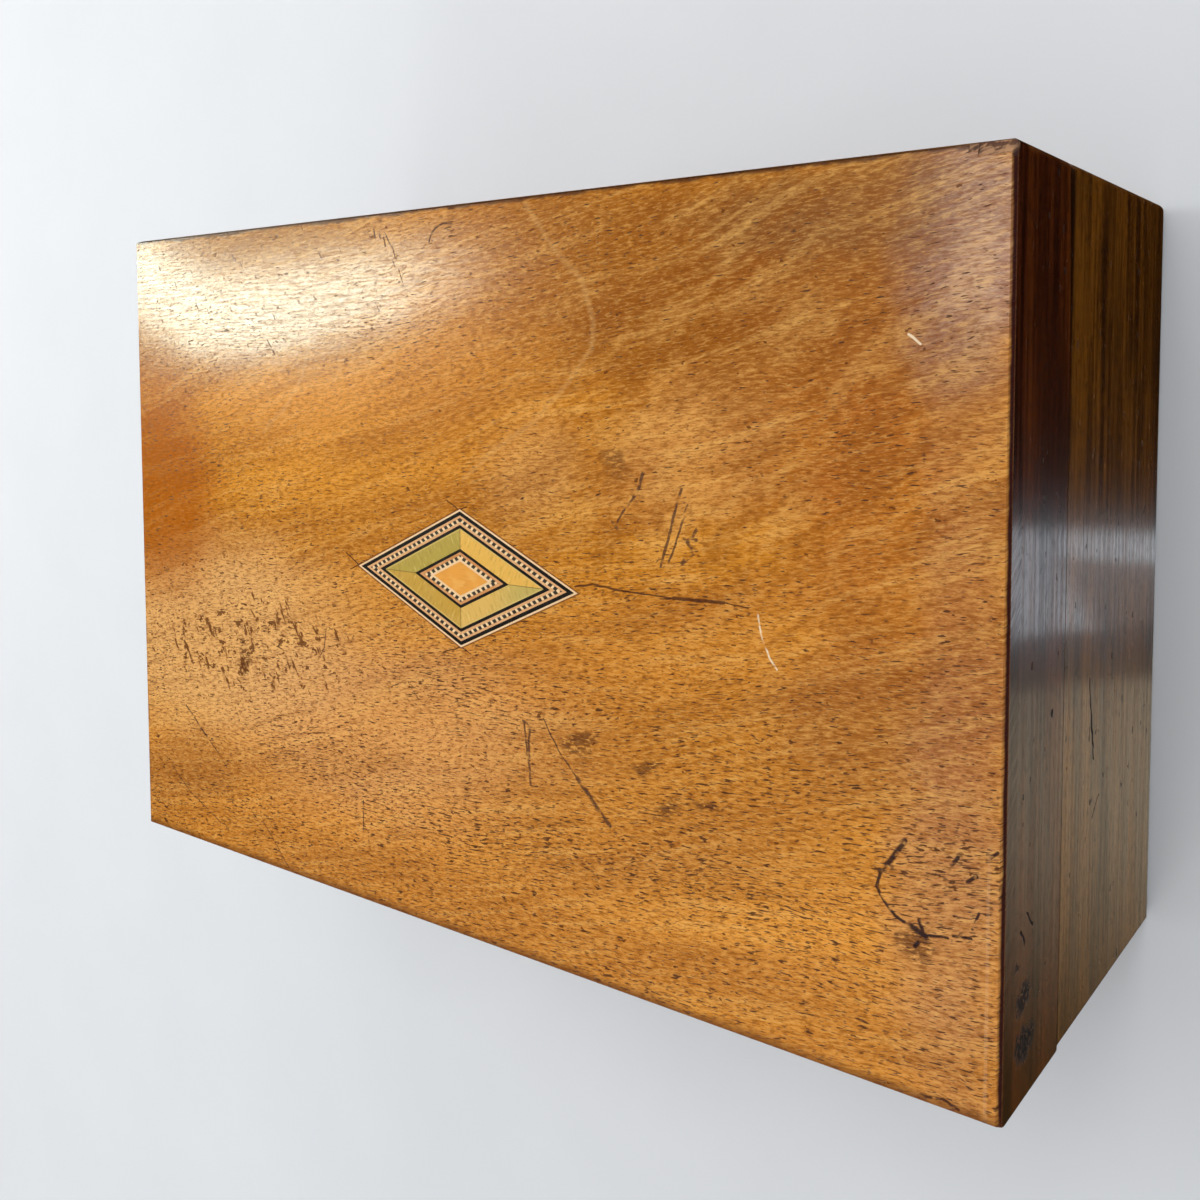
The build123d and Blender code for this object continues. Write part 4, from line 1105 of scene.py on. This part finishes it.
pinPad = {"cells": (96, 60), "crowdEdge": 1.5, "round": 5.0, "drop": 2.6, "tall": 20.0, "foot": 2.0,
          "squareness": 6.0, "inset": 1.2, "inside": 0.3, "creases": 0.03, "seed": 7, "under": 0.02,
          "cloth": {"pressure": 8.0, "slack": 0.04, "bend": 0.3, "frames": 20}}
wineVelvet = {
    "ground": (104, 20, 34), "holes": (2.6, 2.6, 2.6),
    "grain": {"pile": ((0.7, 0.7, 0.7), 2.0, 0.7), "crushed": ((14, 10, 10), 3.0, 0.55)},
    "masks": {"holes": (0.16, 0.10)},
    "layers": [("crushed", (0.30, 0.72), 0.5, (132, 34, 46)), ("pile", (0.45, 0.7), 0.35, (66, 8, 20)),
               ("holes", None, 0.35, (44, 8, 14))],
    "rough": (0.86, {"crushed": -0.1}), "height": {"pile": 0.10, "holes": -0.1},
    "fixed": {"Sheen Weight": 0.7, "Sheen Roughness": 0.4, "Sheen Tint": linear((220, 120, 120)),
              "Specular IOR Level": 0.2}}


def pinHoles(recipe, place, grain):
    grain["holes"] = recipe.cells(place, wineVelvet["holes"])


def makePincushion():
    # velvet over a domed pad, held all round its foot
    low, high = inMm(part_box("pincushion"))
    s = pinPad
    middle, half = (low + high) / 2, (high - low) / 2 - s["inset"]

    def spaced(count):  # closer together towards the edges
        t = np.linspace(-1, 1, count)
        return np.sign(t) * (1 - (1 - np.abs(t)) ** s["crowdEdge"])

    def arch(t):
        return np.clip(1 - np.abs(t) ** s["round"], 0, 1) ** (1 / s["drop"])

    v, u = np.meshgrid(spaced(s["cells"][1]), spaced(s["cells"][0]), indexing="ij")
    power, tiny = s["squareness"], 1e-6
    square = np.maximum(np.abs(u), np.abs(v))
    bowed = np.maximum((np.abs(u) ** power + np.abs(v) ** power) ** (1 / power), tiny)
    pull = np.where(square > tiny, square / bowed, 1)
    z = low[2] + s["foot"] + s["tall"] * arch(u) * arch(v)
    z += np.random.default_rng(s["seed"]).normal(0, s["creases"], z.shape)
    held = np.zeros(z.shape, bool)
    held[[0, -1], :] = held[:, [0, -1]] = True
    sheet = np.stack([middle[0] + half[0] * u * pull, middle[1] + half[1] * v * pull, z], -1)
    surface = np.clip(finer(blowUp(sheet, held, s["cloth"])), low + s["inside"], high - s["inside"])
    points, faces = closedForm(surface, low[2] + s["under"])
    cushion = newPiece("velvet_pincushion", points, faces, layered("wineVelvet", wineVelvet, pinHoles))
    cushion.data.shade_smooth()
    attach(cushion, "tray")
    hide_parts("pincushion")


lidLining = {"thick": 0.8, "foot": 84.08, "round": 0.3, "bevel": 0.3}


def makeLidLinings():
    # papered strips round the inside of the lid; their turned lower edge comes down to the base's rim
    low, high = inMm(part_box("lid_side_linings"))
    thick, foot, turn = lidLining["thick"], lidLining["foot"], lidLining["round"]
    bevel = turn * lidLining["bevel"]
    section = [(0, high[2]), (0, foot + turn), (bevel, foot + bevel), (turn, foot), (thick - turn, foot),
               (thick - bevel, foot + bevel), (thick, foot + turn), (thick, high[2])]
    points = []
    for inward, up in section:
        left, right, front, back = low[0] + inward, high[0] - inward, low[1] + inward, high[1] - inward
        points += [(left, front, up), (right, front, up), (right, back, up), (left, back, up)]
    count = len(section)
    faces = [(4 * k + j, 4 * k + (j + 1) % 4, 4 * ((k + 1) % count) + (j + 1) % 4, 4 * ((k + 1) % count) + j)
             for k in range(count) for j in range(4)]
    strips = newPiece("papered_lid_linings", points, faces, paper)
    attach(strips, "lid")
    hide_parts("lid_side_linings")


makeSilkPad()
makePincushion()
makeLidLinings()
print("pad, pincushion and lid linings made")
